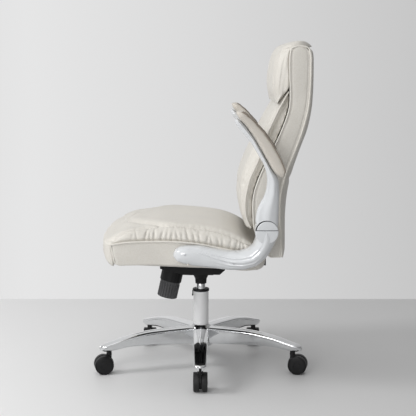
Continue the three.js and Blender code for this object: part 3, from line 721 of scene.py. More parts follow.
def band_section(y, at_rear):
    """(inwards, z) points of the band's section: its face, its rounded lower edge, its lip and its inner wall."""
    seam, low = seat_seam(y) - 0.0004, SEAT_UNDER(y)
    arch = 0.0062 * (step(y, -0.25, -0.14) * (1 - step(y, 0.02, 0.14)))
    radius = 0.006 + 0.020 * at_rear
    face = np.linspace(0, 1, 26)
    edge_low = low + arch
    heights = seam - 0.0015 - face * (seam - 0.0015 - edge_low - radius)
    below = seam - heights
    inwards = 0.0012 + 0.0012 * np.abs(2 * face - 1) ** 2.5
    inwards = inwards + 0.0016 * hump(below - 0.0068, 0.0011) + 0.0035 * hump(below, 0.0028)
    turn = np.linspace(0, math.pi / 2, 8)[1:]
    edge_in = 0.0024 + radius * (1 - np.cos(turn))
    edge_z = edge_low + radius * (1 - np.sin(turn))
    lip = [(0.0255, low + 0.0002), (0.0265, low + 0.002), (0.0268, low + 0.02)]
    lip += [(0.0268, seam - 0.004), (0.012, seam - 0.001)]
    return np.vstack([np.stack([inwards, heights], 1), np.stack([edge_in, edge_z], 1), lip])


def add_seat_band():
    plan = seat_plan()
    tangent = np.gradient(plan, axis=0)
    tangent /= np.linalg.norm(tangent, axis=1)[:, None]
    inward = np.stack([-tangent[:, 1], tangent[:, 0]], 1)
    rings = []
    for (x, y), (nx, ny) in zip(plan, inward):
        inwards, heights = band_section(y, step(y, 0.13, 0.19)).T
        ring = row(x + nx * inwards, y + ny * inwards, heights)
        ring[:, 1] += seam_lean(ring[:, 2]) * (1 - step(y, FRONT_SEAM, -0.21))
        rings.append(ring)
    band = loft("seat_side_band", rings, LEATHER, 50)

    def soft(x, y, z, *normal):
        return 0.0005 * (np.sin(38 * y + 3 * x) * np.sin(61 * z + 9 * y)) - 0.0004

    sculpted(band, soft)
    finished(band, "seat", ["seat_band"])

    edge = plan + inward * 0.0016
    height = seat_seam(edge[:, 1]) - 0.0024
    path = resample(np.column_stack([edge, height])[::3], 420)
    finished(tube("seat_piping", path, 0.0029, LIT_PIPING_LEATHER), "seat")

    # A dark bead stands in the front panel's slanting seam on each side: a painted shadow in the seam.
    z = np.linspace(SEAT_UNDER(FRONT_SEAM) + 0.004, seat_seam(FRONT_SEAM) - 0.004, 20)
    x = seat_half_width(FRONT_SEAM) - 0.0032 - 0.004 * step(z, 0.395, 0.382)
    for side, sign in SIDES:
        line = row(sign * x, FRONT_SEAM + 0.0006 + seam_lean(z), z)
        finished(tube(f"front_seam_{side}", line, 0.0016, SEAM_SHADOW_LEATHER, 8), "seat")


# ---------- back ----------
BACK_PLACES, (BACK_WIDE, BACK_SEAM, BACK_FACE, _) = outline("rear_panel", 2, 1)
BACK_PLACES = [z for z in BACK_PLACES if z < 1.0345]
_, (_, BACK_FRONT, _, _) = outline("back_band", 2, 1, BACK_PLACES)
LUMBAR_PLACES, (LUMBAR_WIDE, LUMBAR_FACE, LUMBAR_REAR, _) = outline("back_cushion", 2, 1)
PILLOW_FOOT, HEAD_SHOULDER, CAP_FOOT = 0.862, 1.03, 1.0341
PILLOW_PLACES = outline("head_cushion", 2, 1)[0]
HEAD_PLACES, CAP_PLACES = PILLOW_PLACES[PILLOW_PLACES < CAP_FOOT], PILLOW_PLACES[PILLOW_PLACES > CAP_FOOT]
HEAD_PLACES, (HEAD_WIDE, HEAD_FACE, HEAD_REAR, HEAD_EDGE) = outline("head_cushion", 2, 1, HEAD_PLACES)
CAP_PLACES, (CAP_WIDE, CAP_FACE, CAP_REAR, CAP_EDGE) = outline("head_cushion", 2, 1, CAP_PLACES)
LUMBAR_EDGE = smooth_line(
    [0.455, 0.477, 0.5, 0.527, 0.569, 0.6, 0.631, 0.693, 0.78, 0.804, 0.857, 0.902],
    [0.170, 0.160, 0.147, 0.137, 0.134, 0.138, 0.145, 0.172, 0.202, 0.213, 0.2385, 0.264],
)
BACK_FOOT, BAND_HEAD = BACK_PLACES[0], BACK_PLACES[-1]


def add_back_band():
    """The back's sides and its hidden middle, between the two rows of piping."""
    heights = [*np.linspace(BACK_FOOT + 0.001, BAND_HEAD - 0.02, 110), *np.linspace(BAND_HEAD - 0.018, BAND_HEAD, 12)]
    share = np.linspace(-1, 1, 30)
    rings = []
    for z in heights:
        width, front, rear = BACK_WIDE(z), BACK_FRONT(z) + 0.0015, BACK_SEAM(z) - 0.0015
        depth = rear - front
        place = (share + 1) / 2 * depth
        grooves = hump(place - 0.0052, 0.0014) + hump(depth - place - 0.0052, 0.0014)
        bulge = 0.0022 * (1 - np.abs(share) ** 3) - 0.0016 * grooves
        side = row(width - 0.0012 + bulge, front + place, z)
        middle = np.linspace(1, -1, 22)[1:-1] * (width - 0.004)
        far, near = row(middle, rear - 0.001, z), row(middle[::-1], front + 0.001, z)
        rings.append(np.vstack([side, far, side[::-1] * (-1, 1, 1), near]))
    band = loft("back_side_band", rings, LEATHER, 50)

    def soft(x, y, z, *normal):
        return 0.0005 * np.sin(29 * z + 2) * np.sin(47 * y + 13 * z)

    sculpted(band, soft)
    finished(band, "seat", ["back_band"])


def add_back_piping():
    """The piping round each side of the back: up the front, over the top and down the rear."""
    up = np.linspace(BACK_FOOT + 0.003, BAND_HEAD - 0.012, 60)
    x = BACK_WIDE(up) - 0.0012
    front, rear = row(x, BACK_FRONT(up) + 0.001, up), row(x, BACK_SEAM(up) + 0.0012, up)[::-1]
    a, b = front[-1], rear[0]
    turn = np.linspace(0, math.pi, 18)[1:-1]
    middle, half = (a[1] + b[1]) / 2, (b[1] - a[1]) / 2
    over = row(a[0] - 0.001, middle - half * np.cos(turn), a[2] + 0.0145 * np.sin(turn) ** 0.8)
    loop = resample(np.vstack([front, over, rear]), 420)
    for side, sign in SIDES:
        finished(tube(f"back_piping_{side}", loop * (sign, 1, 1), 0.0029, LIT_PIPING_LEATHER), "seat")


def add_rear_panel():
    """The outer back: a padded panel with a slow seam across it."""
    heights = np.concatenate([
        BACK_FOOT + 0.0015 + 0.02 * np.linspace(0, 1, 8) ** 1.5,
        np.linspace(BACK_FOOT + 0.03, BAND_HEAD - 0.02, 90),
        BAND_HEAD - 0.018 * np.linspace(1, 0, 10) ** 1.5,
    ])
    share = np.sin(np.linspace(-1, 1, 56) * math.pi / 2)
    rings = []
    for z in heights:
        width, seam, face = BACK_WIDE(z) - 0.001, BACK_SEAM(z) + 0.001, BACK_FACE(z)
        end = min(z - BACK_FOOT, BAND_HEAD - z) / 0.022
        roundness = 1 - (1 - min(max(end, 0), 1)) ** 2.2
        depth = max(face - seam - 0.004, 0.004) * (0.45 + 0.55 * roundness) * 0.97
        bulge = depth * (1 - np.abs(share) ** 3) ** 0.55
        rings.append(np.vstack([row(share * width, seam, z), row(share * width, seam + 0.003 + bulge, z)[::-1]]))
    # The rear cover takes the darker copy of the leather, a painted shade.
    panel = loft("rear_cover", rings, SHADED_REAR_LEATHER, 60)
    marks = wrinkles(21, -0.2, 0.2, 0.03)

    def detail(x, y, z, nx, ny, nz):
        across = x / BACK_WIDE(z)
        away = z - (0.62 + 0.035 * across**2)
        rearward = step(ny, 0.3, 0.7)
        move = -channel(away, 0.0034, 0.008, 0.0012, 0.0016) * rearward
        move -= gathers(x, np.abs(away), marks, 0.0008, 0.005, 0.018) * rearward
        rim = np.minimum(1 - np.abs(across), 0.3) * BACK_WIDE(z)
        return move - 0.0012 * hump(rim - 0.03, 0.004) * rearward

    sculpted(panel, detail)
    finished(panel, "seat", ["rear_panel"])


def cushion_face(width, front, side, z):
    """The front of a back cushion at one height: its face, which falls away to its edges at y = side."""
    turns = np.linspace(0, math.pi, 61)
    return row(width * signed_power(np.cos(turns), 0.5), side - (side - front) * np.sin(turns) ** 0.88, z)


def add_lumbar_cushion():
    foot, top = LUMBAR_PLACES[0], LUMBAR_PLACES[-1]
    inward = np.linspace(0, 1, 10)[1:]
    rings = []
    for z in np.linspace(foot + 0.002, top, 90):
        width, rear = LUMBAR_WIDE(z), LUMBAR_REAR(z)
        front = LUMBAR_FACE(z) - 0.007 * hump(z - 0.885, 0.022)
        side = min(LUMBAR_EDGE(z), rear - 0.002)
        wall = row(-width + 0.024 * np.sin(inward * math.pi / 2), side + (rear - side) * inward, z)
        base = row(np.linspace(-1, 1, 31)[1:-1] * width, rear, z)
        rings.append(np.vstack([cushion_face(width, front, side, z), wall, base, wall[::-1] * (-1, 1, 1)]))

    def free(x, y, z):
        ahead = step(LUMBAR_REAR(z) - y, 0.006, 0.024)
        return ahead * step(z, foot + 0.004, foot + 0.03) * (1 - step(z, 0.845, 0.875))

    puckers = wrinkles(31, 0.50, 0.85, 0.013)
    tucks = wrinkles(33, -0.15, 0.15, 0.022)

    def detail(across, y, z, nx, ny, nz):
        x, width = np.abs(across), LUMBAR_WIDE(z)
        forward = step(-ny, 0.15, 0.5)
        apart = (width - 0.058) - x
        open_panel = step(z, 0.52, 0.55) * (1 - step(z, 0.83, 0.86))
        move = -channel(apart, 0.0052, 0.009) * forward * open_panel
        move -= gathers(z, apart, puckers, 0.0012, 0.004, 0.018) * forward * open_panel
        move -= gathers(z, -apart, puckers, 0.0014, 0.004, 0.02) * forward * open_panel
        middle = step(apart, 0.0, 0.008)
        for level, bend in ((0.60, -0.012), (0.735, 0.010)):
            away = z - level - bend * (x / width) ** 2
            move -= channel(away, 0.0046, 0.010, 0.0012, 0.0017) * forward * middle
            move -= gathers(across, np.abs(away), tucks, 0.0009, 0.006, 0.018) * forward * middle
        gusset = step(-ny, 0.5, 0.1) * step(x, 0.17, 0.2)
        behind = y - np.minimum(LUMBAR_EDGE(z), LUMBAR_REAR(z) - 0.001)
        ripple = np.sin(z * 210 + 3 * np.sin(z * 37)) * 0.0004
        move -= 0.0036 * hump(behind + 0.0056, 0.0022) * step(x, width - 0.03, width - 0.012)
        return move + (ripple - 0.004 * hump(behind - 0.0065, 0.0028)) * gusset

    add_cushion("lumbar_cushion_leather", rings, 0.0055, free, 0.007, detail, "back_cushion")

    z = np.linspace(foot + 0.006, 0.902, 90)
    depth = np.minimum(LUMBAR_EDGE(z), LUMBAR_REAR(z) - 0.001) + 0.0015
    x = LUMBAR_WIDE(z) + 0.0012 - 0.006 * step(z, 0.87, 0.9)
    for side, sign in SIDES:
        line = resample(row(sign * x, depth, z), 260)
        finished(tube(f"lumbar_piping_{side}", line, 0.0027, LIT_PIPING_LEATHER), "seat")


def add_head_cushion():
    cap_low, cap_high = CAP_PLACES[0], CAP_PLACES[-1]
    heights = np.concatenate([
        np.linspace(HEAD_PLACES[0], HEAD_PLACES[-1], 60),
        cap_low + (cap_high - cap_low) * np.sin(np.linspace(0, 1, 12) * math.pi / 2),
    ])
    back_turn = np.sin(np.linspace(math.pi, 0, 61))
    rings = []
    for z in heights:
        in_cap = z >= cap_low
        shape = (CAP_WIDE, CAP_FACE, CAP_REAR, CAP_EDGE) if in_cap else (HEAD_WIDE, HEAD_FACE, HEAD_REAR, HEAD_EDGE)
        width, front, rear, side = (line(z) for line in shape)
        side = min(side, rear - 0.002)
        near = cushion_face(width, front, side, z + 0.004 * (1 - step(z, PILLOW_FOOT, 0.93)))
        far = near[::-1].copy()
        far[:, 1] = side + (rear - side) * (back_turn**0.7 if in_cap else np.minimum(back_turn * 30, 1))
        rings.append(np.vstack([near, far[1:-1]]))

    def free(x, y, z):
        ahead = step(BACK_FRONT(np.minimum(z, BAND_HEAD)) - y, 0.004, 0.02)
        return np.maximum(ahead, step(z, 1.036, 1.044) * 0.6) * step(z, PILLOW_FOOT, 0.875)

    puckers = wrinkles(41, 0.885, 1.02, 0.011)

    def detail(x, y, z, nx, ny, nz):
        level = np.minimum(z, HEAD_SHOULDER)
        forward = step(-ny, 0.1, 0.5)
        sideways = step(np.abs(nx), 0.3, 0.8)
        apart = (HEAD_WIDE(level) - 0.05) - np.abs(x)
        panel = step(z, 0.88, 0.9) * (1 - step(z, 1.0, HEAD_SHOULDER))
        move = -channel(apart, 0.0040, 0.009, 0.0013) * forward * panel
        move -= gathers(z, apart, puckers, 0.0010, 0.0035, 0.016) * forward * panel
        move -= gathers(z, -apart, puckers, 0.0012, 0.0035, 0.016) * forward * panel
        # Upright creases where the pillow turns into its side
        for place, depth, width_of in ((0.021, 0.0016, 0.0035), (0.034, 0.0012, 0.004), (0.011, 0.0013, 0.003)):
            line = y - HEAD_FACE(level) - place - 0.003 * np.sin(34 * z)
            move -= depth * hump(line, width_of) * sideways * step(z, 0.87, 0.9)
        return move + 0.0006 * (np.sin(37 * x + 21 * z) * np.sin(43 * z - 1.1))

    add_cushion("headrest_pillow_leather", rings, 0.005, free, 0.0045, detail, "head_cushion")


# ---------- arms ----------
HINGE_Y, HINGE_Z, HINGE_RADIUS = 0.196, 0.494, 0.0342
EAR_OUTER, ARM_INNER, DISC_OUTER = 0.283, 0.2856, 0.325
BRACKET_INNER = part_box("arm_bracket_left")[0].x
ARM_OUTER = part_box("arm_frame_left")[1].x


def spine(node, points, count, x):
    """Stations along a line of (y, z) points, centred in the CAD node at x. It gives a function of a station's number,
    x and the distance across, for points there, then each station's half width and its y."""
    tree = BVHTree.FromObject(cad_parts[node], bpy.context.evaluated_depsgraph_get())
    line = resample(np.array(points) * MM, count)
    along = np.gradient(line, axis=0)
    along /= np.linalg.norm(along, axis=1)[:, None]
    across = np.stack([-along[:, 1], along[:, 0]], 1)
    reaches = []
    for sign in (1, -1):
        hits = [tree.ray_cast(Vector((x, *p)), Vector((0, *(way * sign)))) for p, way in zip(line, across)]
        reach = [hit[3] if hit[0] is not None else 0.01 for hit in hits]
        reaches.append(np.convolve(np.pad(reach, 2, mode="edge"), np.array([1, 2, 3, 2, 1]) / 9, "valid"))
    near, far = reaches
    centre = line + across * ((near - far) / 2)[:, None]

    def at(i, x, a):
        return row(x, centre[i, 0] + across[i, 0] * a, centre[i, 1] + across[i, 1] * a)

    return at, (near + far) / 2, centre[:, 0]


def rounded_end(count, first, last):
    """Width factors along a loft that close its ends over so many stations."""
    factor = np.ones(count)
    for k in range(first):
        factor[k] = math.sqrt(1 - (1 - (k + 0.35) / first) ** 2)
    for k in range(last):
        factor[count - 1 - k] = math.sqrt(1 - (1 - (k + 0.35) / last) ** 2)
    return factor


def disc(name, x0, x1, radius, material, bevel=0.0012, dome=0.0):
    """A round cap about the hinge from x0 to x1, with a softened rim and a slightly domed outer face."""
    r, b = radius / MM, bevel / MM
    a, z = x0 / MM, x1 / MM
    profile = [(0, a), (r, a), (r, z - b - dome / MM)]
    profile += [(r - b + b * math.cos(t), z - b - dome / MM + b * math.sin(t)) for t in np.linspace(0.4, 1.57, 4)]
    profile += [(r * s, z - dome / MM * s**2) for s in np.linspace(0.9, 0.0, 9)]
    return lathe(name, profile, material, "X", (0, HINGE_Y, HINGE_Z), 72)


def block(name, low, high, material=None):
    """A plain box between two corners."""
    corners = [(x, y, z) for x in (low[0], high[0]) for y in (low[1], high[1]) for z in (low[2], high[2])]
    faces = [(0, 1, 3, 2), (4, 6, 7, 5), (0, 4, 5, 1), (2, 3, 7, 6), (0, 2, 6, 4), (1, 5, 7, 3)]
    return new_piece(name, corners, faces, material or ARM_PAINT)


def flip(piece):
    """Mirrors the piece's mesh to the other side."""
    piece.data.transform(Matrix.Scale(-1, 4, (1, 0, 0)))
    piece.data.flip_normals()


def both_sides(piece, name, body, node=None):
    """Finishes a piece of the left side and its mirror image on the right."""
    piece.name = f"{name}_left"
    other = bpy.data.objects.new(f"{name}_right", piece.data.copy())
    SCENE.collection.objects.link(other)
    flip(other)
    for side, made in (("left", piece), ("right", other)):
        rides = body if body == "seat" else f"{body}_{side}"
        finished(made, rides, [f"{node}_{side}"] if node else ())


# Middle lines as (y, z) in millimetres
ARM_SPINE = [
    (196, 499), (197, 530), (199, 560), (207, 592), (213, 622), (214, 648), (206, 672), (191, 700),
    (165, 744), (138, 780), (101, 824),
]
BRACKET_SPINE = [
    (-82, 417), (-60, 418), (-42, 416), (-1, 412), (47, 405), (89, 400), (120, 401), (152, 412),
    (176, 430), (190, 455), (196, 494),
]
PAD_SPINE = [(243, 656), (236, 676), (222, 706), (197, 744), (166, 786), (137, 820), (106, 845)]
BRACKET_SWELL = smooth_line(
    [-0.09, -0.06, 0.02, 0.08, 0.125, 0.16, 0.24],
    [0.293, 0.300, 0.303, 0.309, 0.322, 0.334, 0.3345],
)


def add_arm_frames():
    count = 84
    at, half, _ = spine("arm_frame_left", ARM_SPINE, count, 0.30)
    ends = rounded_end(count, 0, 5)
    c, s = np.cos(ring_turns(56)), np.sin(ring_turns(56))
    outer = s > 0
    rings = []
    for i in range(count):
        slim = 1 - 0.10 * step(i / count, 0.55, 0.9)
        half_x = (ARM_OUTER - ARM_INNER) / 2 * slim * ends[i]
        a = half[i] * ends[i] * signed_power(c, np.where(outer, 0.80, 0.62))
        b = half_x * signed_power(s, np.where(outer, 0.86, 0.62))
        # A soft ridge runs along the outer face behind its middle.
        ridge = (0.0022 * hump(c + 0.1, 0.2) - 0.0030 * hump(c - 0.42, 0.24)) * outer * ends[i]
        rings.append(at(i, (ARM_INNER + ARM_OUTER) / 2 + b + ridge - 0.0018 * ends[i], a))
    arm = loft("arm_frame", rings, ARM_PAINT)
    cut(arm, disc("cutter", DISC_OUTER + 0.0001, ARM_OUTER + 0.02, HINGE_RADIUS + 0.0009, ARM_PAINT, 0.0002))
    cut(arm, block("cutter", (0.25, 0.1, 0.4), (0.36, 0.3, HINGE_Z + 0.0062)))
    bevelled(arm, 0.0011, 2, 40)
    joined(arm, disc("hub", ARM_INNER, DISC_OUTER, HINGE_RADIUS, ARM_PAINT))
    shaded(arm, ARM_PAINT, 38)
    both_sides(arm, "flip_arm", "arm", node="arm_frame")


def groove(u, v, start, end, line, depth, width):
    """A flowing hollow along v = line(u) that fades out at both of its ends."""
    inside = step(u, start, start + 0.10) * (1 - step(u, end - 0.12, end))
    return depth * hump(v - line(u), width) * inside


def add_brackets():
    count = 110
    at, half, middle_y = spine("arm_bracket_left", BRACKET_SPINE, count, 0.27)
    ends = rounded_end(count, 4, 0)
    turns = np.linspace(-math.pi / 2, math.pi / 2, 61)
    v = np.sin(turns)
    places = [0.0, 0.2, 0.35, 0.5, 0.65, 0.8, 1.0]
    upper = smooth_line(places, [0.9, 0.72, 0.45, 0.30, 0.28, 0.25, 0.2])
    lower = smooth_line(places, [0.85, 0.55, 0.15, -0.12, -0.22, -0.25, -0.2])
    third = smooth_line([0.0, 0.3, 0.5, 0.65, 0.8, 1.0], [0.2, -0.2, -0.45, -0.55, -0.55, -0.5])
    rings = []
    for i in range(count):
        u = i / (count - 1)
        swell = BRACKET_SWELL(middle_y[i]) - BRACKET_INNER
        nose = math.sqrt(1 - (1 - min(u / 0.075, 1.0)) ** 2)
        depth = swell * np.cos(turns) ** (0.5 + 0.3 * u) * (0.3 + 0.7 * nose)
        carve = groove(u, v, 0.10, 0.93, upper, 0.0030, 0.085)
        carve += groove(u, v, 0.06, 0.80, lower, 0.0036, 0.10)
        carve += groove(u, v, 0.32, 0.90, third, 0.0018, 0.07)
        x = BRACKET_INNER + 0.0006 + np.maximum(depth - carve * (depth > 0.006), 0)
        flat = np.linspace(0.92, -0.92, 9) * half[i] * ends[i]
        rings.append(np.vstack([at(i, x, half[i] * ends[i] * v), at(i, BRACKET_INNER + 0.0002, flat)]))
    bracket = loft("bracket", rings, ARM_PAINT)
    cut(bracket, disc("cutter", EAR_OUTER + 0.0003, DISC_OUTER + 0.0003, HINGE_RADIUS + 0.0008, ARM_PAINT, 0.0002))
    bevelled(bracket, 0.0008, 2, 40)
    ear = disc("ear", BRACKET_INNER + 0.0003, EAR_OUTER, HINGE_RADIUS, ARM_PAINT)
    cover = disc("cover", DISC_OUTER + 0.0004, ARM_OUTER + 0.0012, HINGE_RADIUS, ARM_PAINT, 0.0022, 0.0016)
    cut(cover, block("cutter", (0.30, 0.1, HINGE_Z + 0.0042), (0.36, 0.3, 0.6)))
    bevelled(cover, 0.0008, 2, 40)
    cap = disc("cap", DISC_OUTER + 0.0004, ARM_OUTER - 0.0012, HINGE_RADIUS - 0.0018, ARM_PAINT, 0.0016, 0.0012)
    cap.data.transform(Matrix.Translation((0, 0.0018, 0)))
    # A black disc under the gap round the offset cap: a painted shadow in the hinge's slit.
    recess = disc("recess", DISC_OUTER + 0.0004, DISC_OUTER + 0.0014, HINGE_RADIUS - 0.0002, BLACK_PLASTIC, 0.0002)
    cut(cap, block("cutter", (0.30, 0.1, 0.4), (0.36, 0.3, HINGE_Z + 0.0062)))
    bevelled(cap, 0.0008, 2, 40)
    joined(bracket, ear, cover, cap)
    joined(shaded(bracket, ARM_PAINT, 38), recess)
    both_sides(bracket, "seat_bracket", "seat", node="arm_bracket")
    add_bracket_screws()


def surface_x(name, y, z):
    """Where a line from outside along -X meets a finished piece."""
    tree = BVHTree.FromObject(bpy.data.objects[name], bpy.context.evaluated_depsgraph_get())
    hit = tree.ray_cast(Vector((0.5, y, z)), Vector((-1, 0, 0)))
    return hit[0].x


def add_bracket_screws():
    """Two countersunk screws and a small stud in each bracket's outer face."""
    head_profile = [(0, -3), (3.6, -3), (3.6, 0.1), (3.2, 0.5), (1.6, 0.7), (1.3, -0.8), (0, -0.8)]
    for number, (y, z) in enumerate(((-0.045, 0.4215), (0.100, 0.398)), 1):
        x = surface_x("seat_bracket_left", y, z)
        head = lathe("screw", head_profile, STEEL, "X", (x, y, z), 32)
        both_sides(head, f"bracket_screw_{number}", "seat")
    x = surface_x("seat_bracket_left", -0.036, 0.4)
    stud_profile = [(0, -18), (3.2, -18), (3.2, 0.6), (2.6, 1.6), (1.4, 2.2), (0, 2.4)]
    stud = lathe("stud", stud_profile, ARM_LEATHER, "X", (x - 0.001, -0.036, 0.3905), 32)
    both_sides(stud, "bracket_stud", "seat")


def add_arm_pads():
    count = 90
    at, half, _ = spine("arm_pad_left", PAD_SPINE, count, 0.31)
    low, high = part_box("arm_pad_left")
    middle_x, half_x = (low.x + high.x) / 2, (high.x - low.x) / 2
    ends = rounded_end(count, 9, 8)
    wide = half_x * (0.55 + 0.45 * ends)
    columns = 72
    c, s = np.cos(ring_turns(columns)), np.sin(ring_turns(columns))
    seam = np.sign(s) * 0.0016 * hump(c + 0.55, 0.06) * (np.abs(s) > 0.5)
    rings = []
    for i in range(count):
        u = i / (count - 1)
        crease = 0.0006 * math.sin(u * 60) * math.sin(u * 23 + 1) * (np.abs(c) > 0.3)
        a = half[i] * ends[i] * signed_power(c, 0.62) + crease
        rings.append(at(i, middle_x + wide[i] * signed_power(s, 0.5) - seam, a))
    pad = loft("arm_pad", rings, ARM_LEATHER)
    pad.data.materials.append(ARM_TRIM)
    for face in pad.data.polygons:
        ring, place = divmod(min(face.vertices), columns)
        if 30 < ring < count - 6 and c[place] < -0.66:
            face.material_index = 1
    both_sides(pad, "arm_pad_leather", "arm", node="arm_pad")
    # The darker top panel's welt runs round the pad above its side seam.
    line = [at(i, middle_x + wide[i] * 0.935, half[i] * ends[i] * np.array([-0.70]))[0] for i in range(4, count - 4)]
    welt = tube("welt", resample(line, 160), 0.0014, ARM_TRIM, 8)
    both_sides(welt, "arm_pad_welt", "arm")


# ---------- base, column and casters ----------
LEGS = 5
STEM_CIRCLE = 0.3086
LEG_REACH = 0.338


def leg_section(width, top, low):
    """(across, z) points of a leg: a crowned top plate with a rounded edge, a groove under it, and a narrower keel."""
    depth = top - low
    crest = [(t * width, top - 0.0035 * abs(t) ** 2.4 + 0.0012 * hump(t, 0.12)) for t in np.linspace(-0.92, 0.92, 21)]
    rim = [(width * 0.985, top - 0.0048), (width, top - 0.0068), (width * 0.985, top - 0.0088)]
    groove_in = [(width * 0.90, top - 0.0102), (width * 0.875, top - 0.0125)]
    keel = [(width * 0.86, top - 0.3 * depth), (width * 0.80, low + 0.35 * depth)]
    keel += [(width * 0.66, low + 0.08 * depth), (width * 0.52, low)]
    side = rim + groove_in + keel
    hollow = [(t * width * 0.42, low + 0.003 * (1 - abs(t) ** 6)) for t in np.linspace(1, -1, 7)]
    return crest + side + hollow + [(-a, z) for a, z in reversed(side)]


def stem_place(leg):
    angle = 2 * math.pi * leg / LEGS
    return (STEM_CIRCLE * math.cos(angle), STEM_CIRCLE * math.sin(angle), 0)


def add_base():
    top = smooth_line([20, 110, 190, 250, 303, 330, 340], [134, 132, 127, 116, 101, 94, 91])
    low = smooth_line([20, 92, 200, 250, 296, 330, 340], [78, 81, 85, 83, 76, 75, 78])
    tip_reaches = LEG_REACH / MM - 19 + 18.6 * np.sin(np.linspace(0.12, 1, 12) * math.pi / 2)
    rings = []
    for r in [*np.linspace(24, 318, 46), *tip_reaches]:
        straight = np.interp(r, [0, 200, 324], [23, 23, 19])
        tip = math.sqrt(max(1 - max((r - 318) / 20.2, 0) ** 2, 0.02))
        middle = (top(r) + low(r)) / 2
        half = (top(r) - low(r)) / 2 * (0.35 + 0.65 * tip)
        section = leg_section(straight * tip * MM, (middle + half) * MM, (middle - half) * MM)
        rings.append([(a, r * MM, z) for a, z in section])
    collar = [(5.7, 74.5), (8.6, 74.5), (9.8, 75.6), (12.4, 82), (14, 88), (5.7, 88)]
    legs = []
    for k in range(LEGS):
        turn = Matrix.Rotation(2 * math.pi * k / LEGS - math.pi / 2, 3, "Z")
        legs.append(loft(f"leg_{k + 1}", np.array(rings) @ np.array(turn).T, CHROME, 40))
        legs.append(lathe(f"collar_{k + 1}", collar, CHROME, at=stem_place(k), segments=40))
    hub = [(25.4, 71), (35.5, 71), (37.5, 73), (38, 78), (38, 124), (36.5, 130), (33, 134.5), (29, 138)]
    hub += [(27.4, 140), (25.4, 140)]
    base = joined(lathe("star_base_chrome", hub, CHROME, segments=80), *legs)
    shaded(base, CHROME, 40)
    finished(base, "base", ["star_base"])


def add_column():
    stand = [(23.4, 70.5), (24.6, 70.5), (25, 71), (25, 138.6), (24.5, 139.2), (24.5, 140.2), (25, 140.8)]
    stand += [(25, 252.5), (24.5, 253.8), (23.4, 253.8)]
    tube_piece = lathe("column_tube_enamel", stand, WHITE_STEEL, segments=96)
    foot = lathe("foot", [(8, 70.2), (24, 70.2), (24, 73.8), (8, 73.8)], WHITE_STEEL, segments=64)
    finished(joined(tube_piece, foot), "base", ["stand_tube"])

    ring = [(14.8, 254.2), (25.3, 254.2), (25.3, 250.2), (26.4, 250), (27, 250.8), (27, 256.6), (26, 257.8)]
    ring += [(15.8, 258), (14.8, 257)]
    ring_piece = lathe("column_ring", ring, BLACK_PLASTIC, segments=72)
    tab = bevelled(block("tab", (-0.003, -0.0282, 0.234), (0.003, -0.0254, 0.252), BLACK_PLASTIC), 0.0009)
    hook = bevelled(block("hook", (-0.0042, -0.0292, 0.2335), (0.0042, -0.0258, 0.2395), BLACK_PLASTIC), 0.0009)
    joined(ring_piece, tab, hook)
    shaded(ring_piece, BLACK_PLASTIC, 40)
    finished(ring_piece, "base", ["tube_top_ring"])

    gas = [(5.4, 108.2), (13.4, 108.2), (14, 109), (14, 318.5), (13.2, 319.8), (4.6, 319.8), (4.6, 306), (4.4, 305)]
    gas += [(4.4, 300), (12, 299), (12, 113), (5.4, 112)]
    finished(lathe("gas_spring_cylinder", gas, CHROME, segments=72), "mechanism", ["pressure_tube"])


HEADINGS = [180, 78, 180, 180, -78]  # the way each caster points, in degrees
WHEEL_RADIUS = 30.0
TRAIL = 0.017  # from a caster's stem to its axle


def wheel_profile():
    """(radius, distance from the caster's middle) of a wheel in millimetres: its tread, and its face and hub."""
    tread = [(25, 9.4), (25, 4.2), (26, 3.5), (29, 3.7), (29.9, 4.6), (WHEEL_RADIUS, 6), (WHEEL_RADIUS, 19)]
    tread += [(29.6, 20.4), (28.6, 21.4)]
    face = [(27.2, 21.8), (26.4, 21.2), (25.9, 20.8), (25.2, 21.3), (24, 21.7), (14, 21.95), (11.6, 21.95)]
    face += [(11, 21.4), (10.2, 21.9), (0, 22), (0, 20.8), (3.5, 20.4), (3.5, 9.2)]
    return tread, face


def on_axle(name, profile, material, segments=64):
    return lathe(name, profile, material, "X", (0, TRAIL, WHEEL_RADIUS * MM), segments, 30)


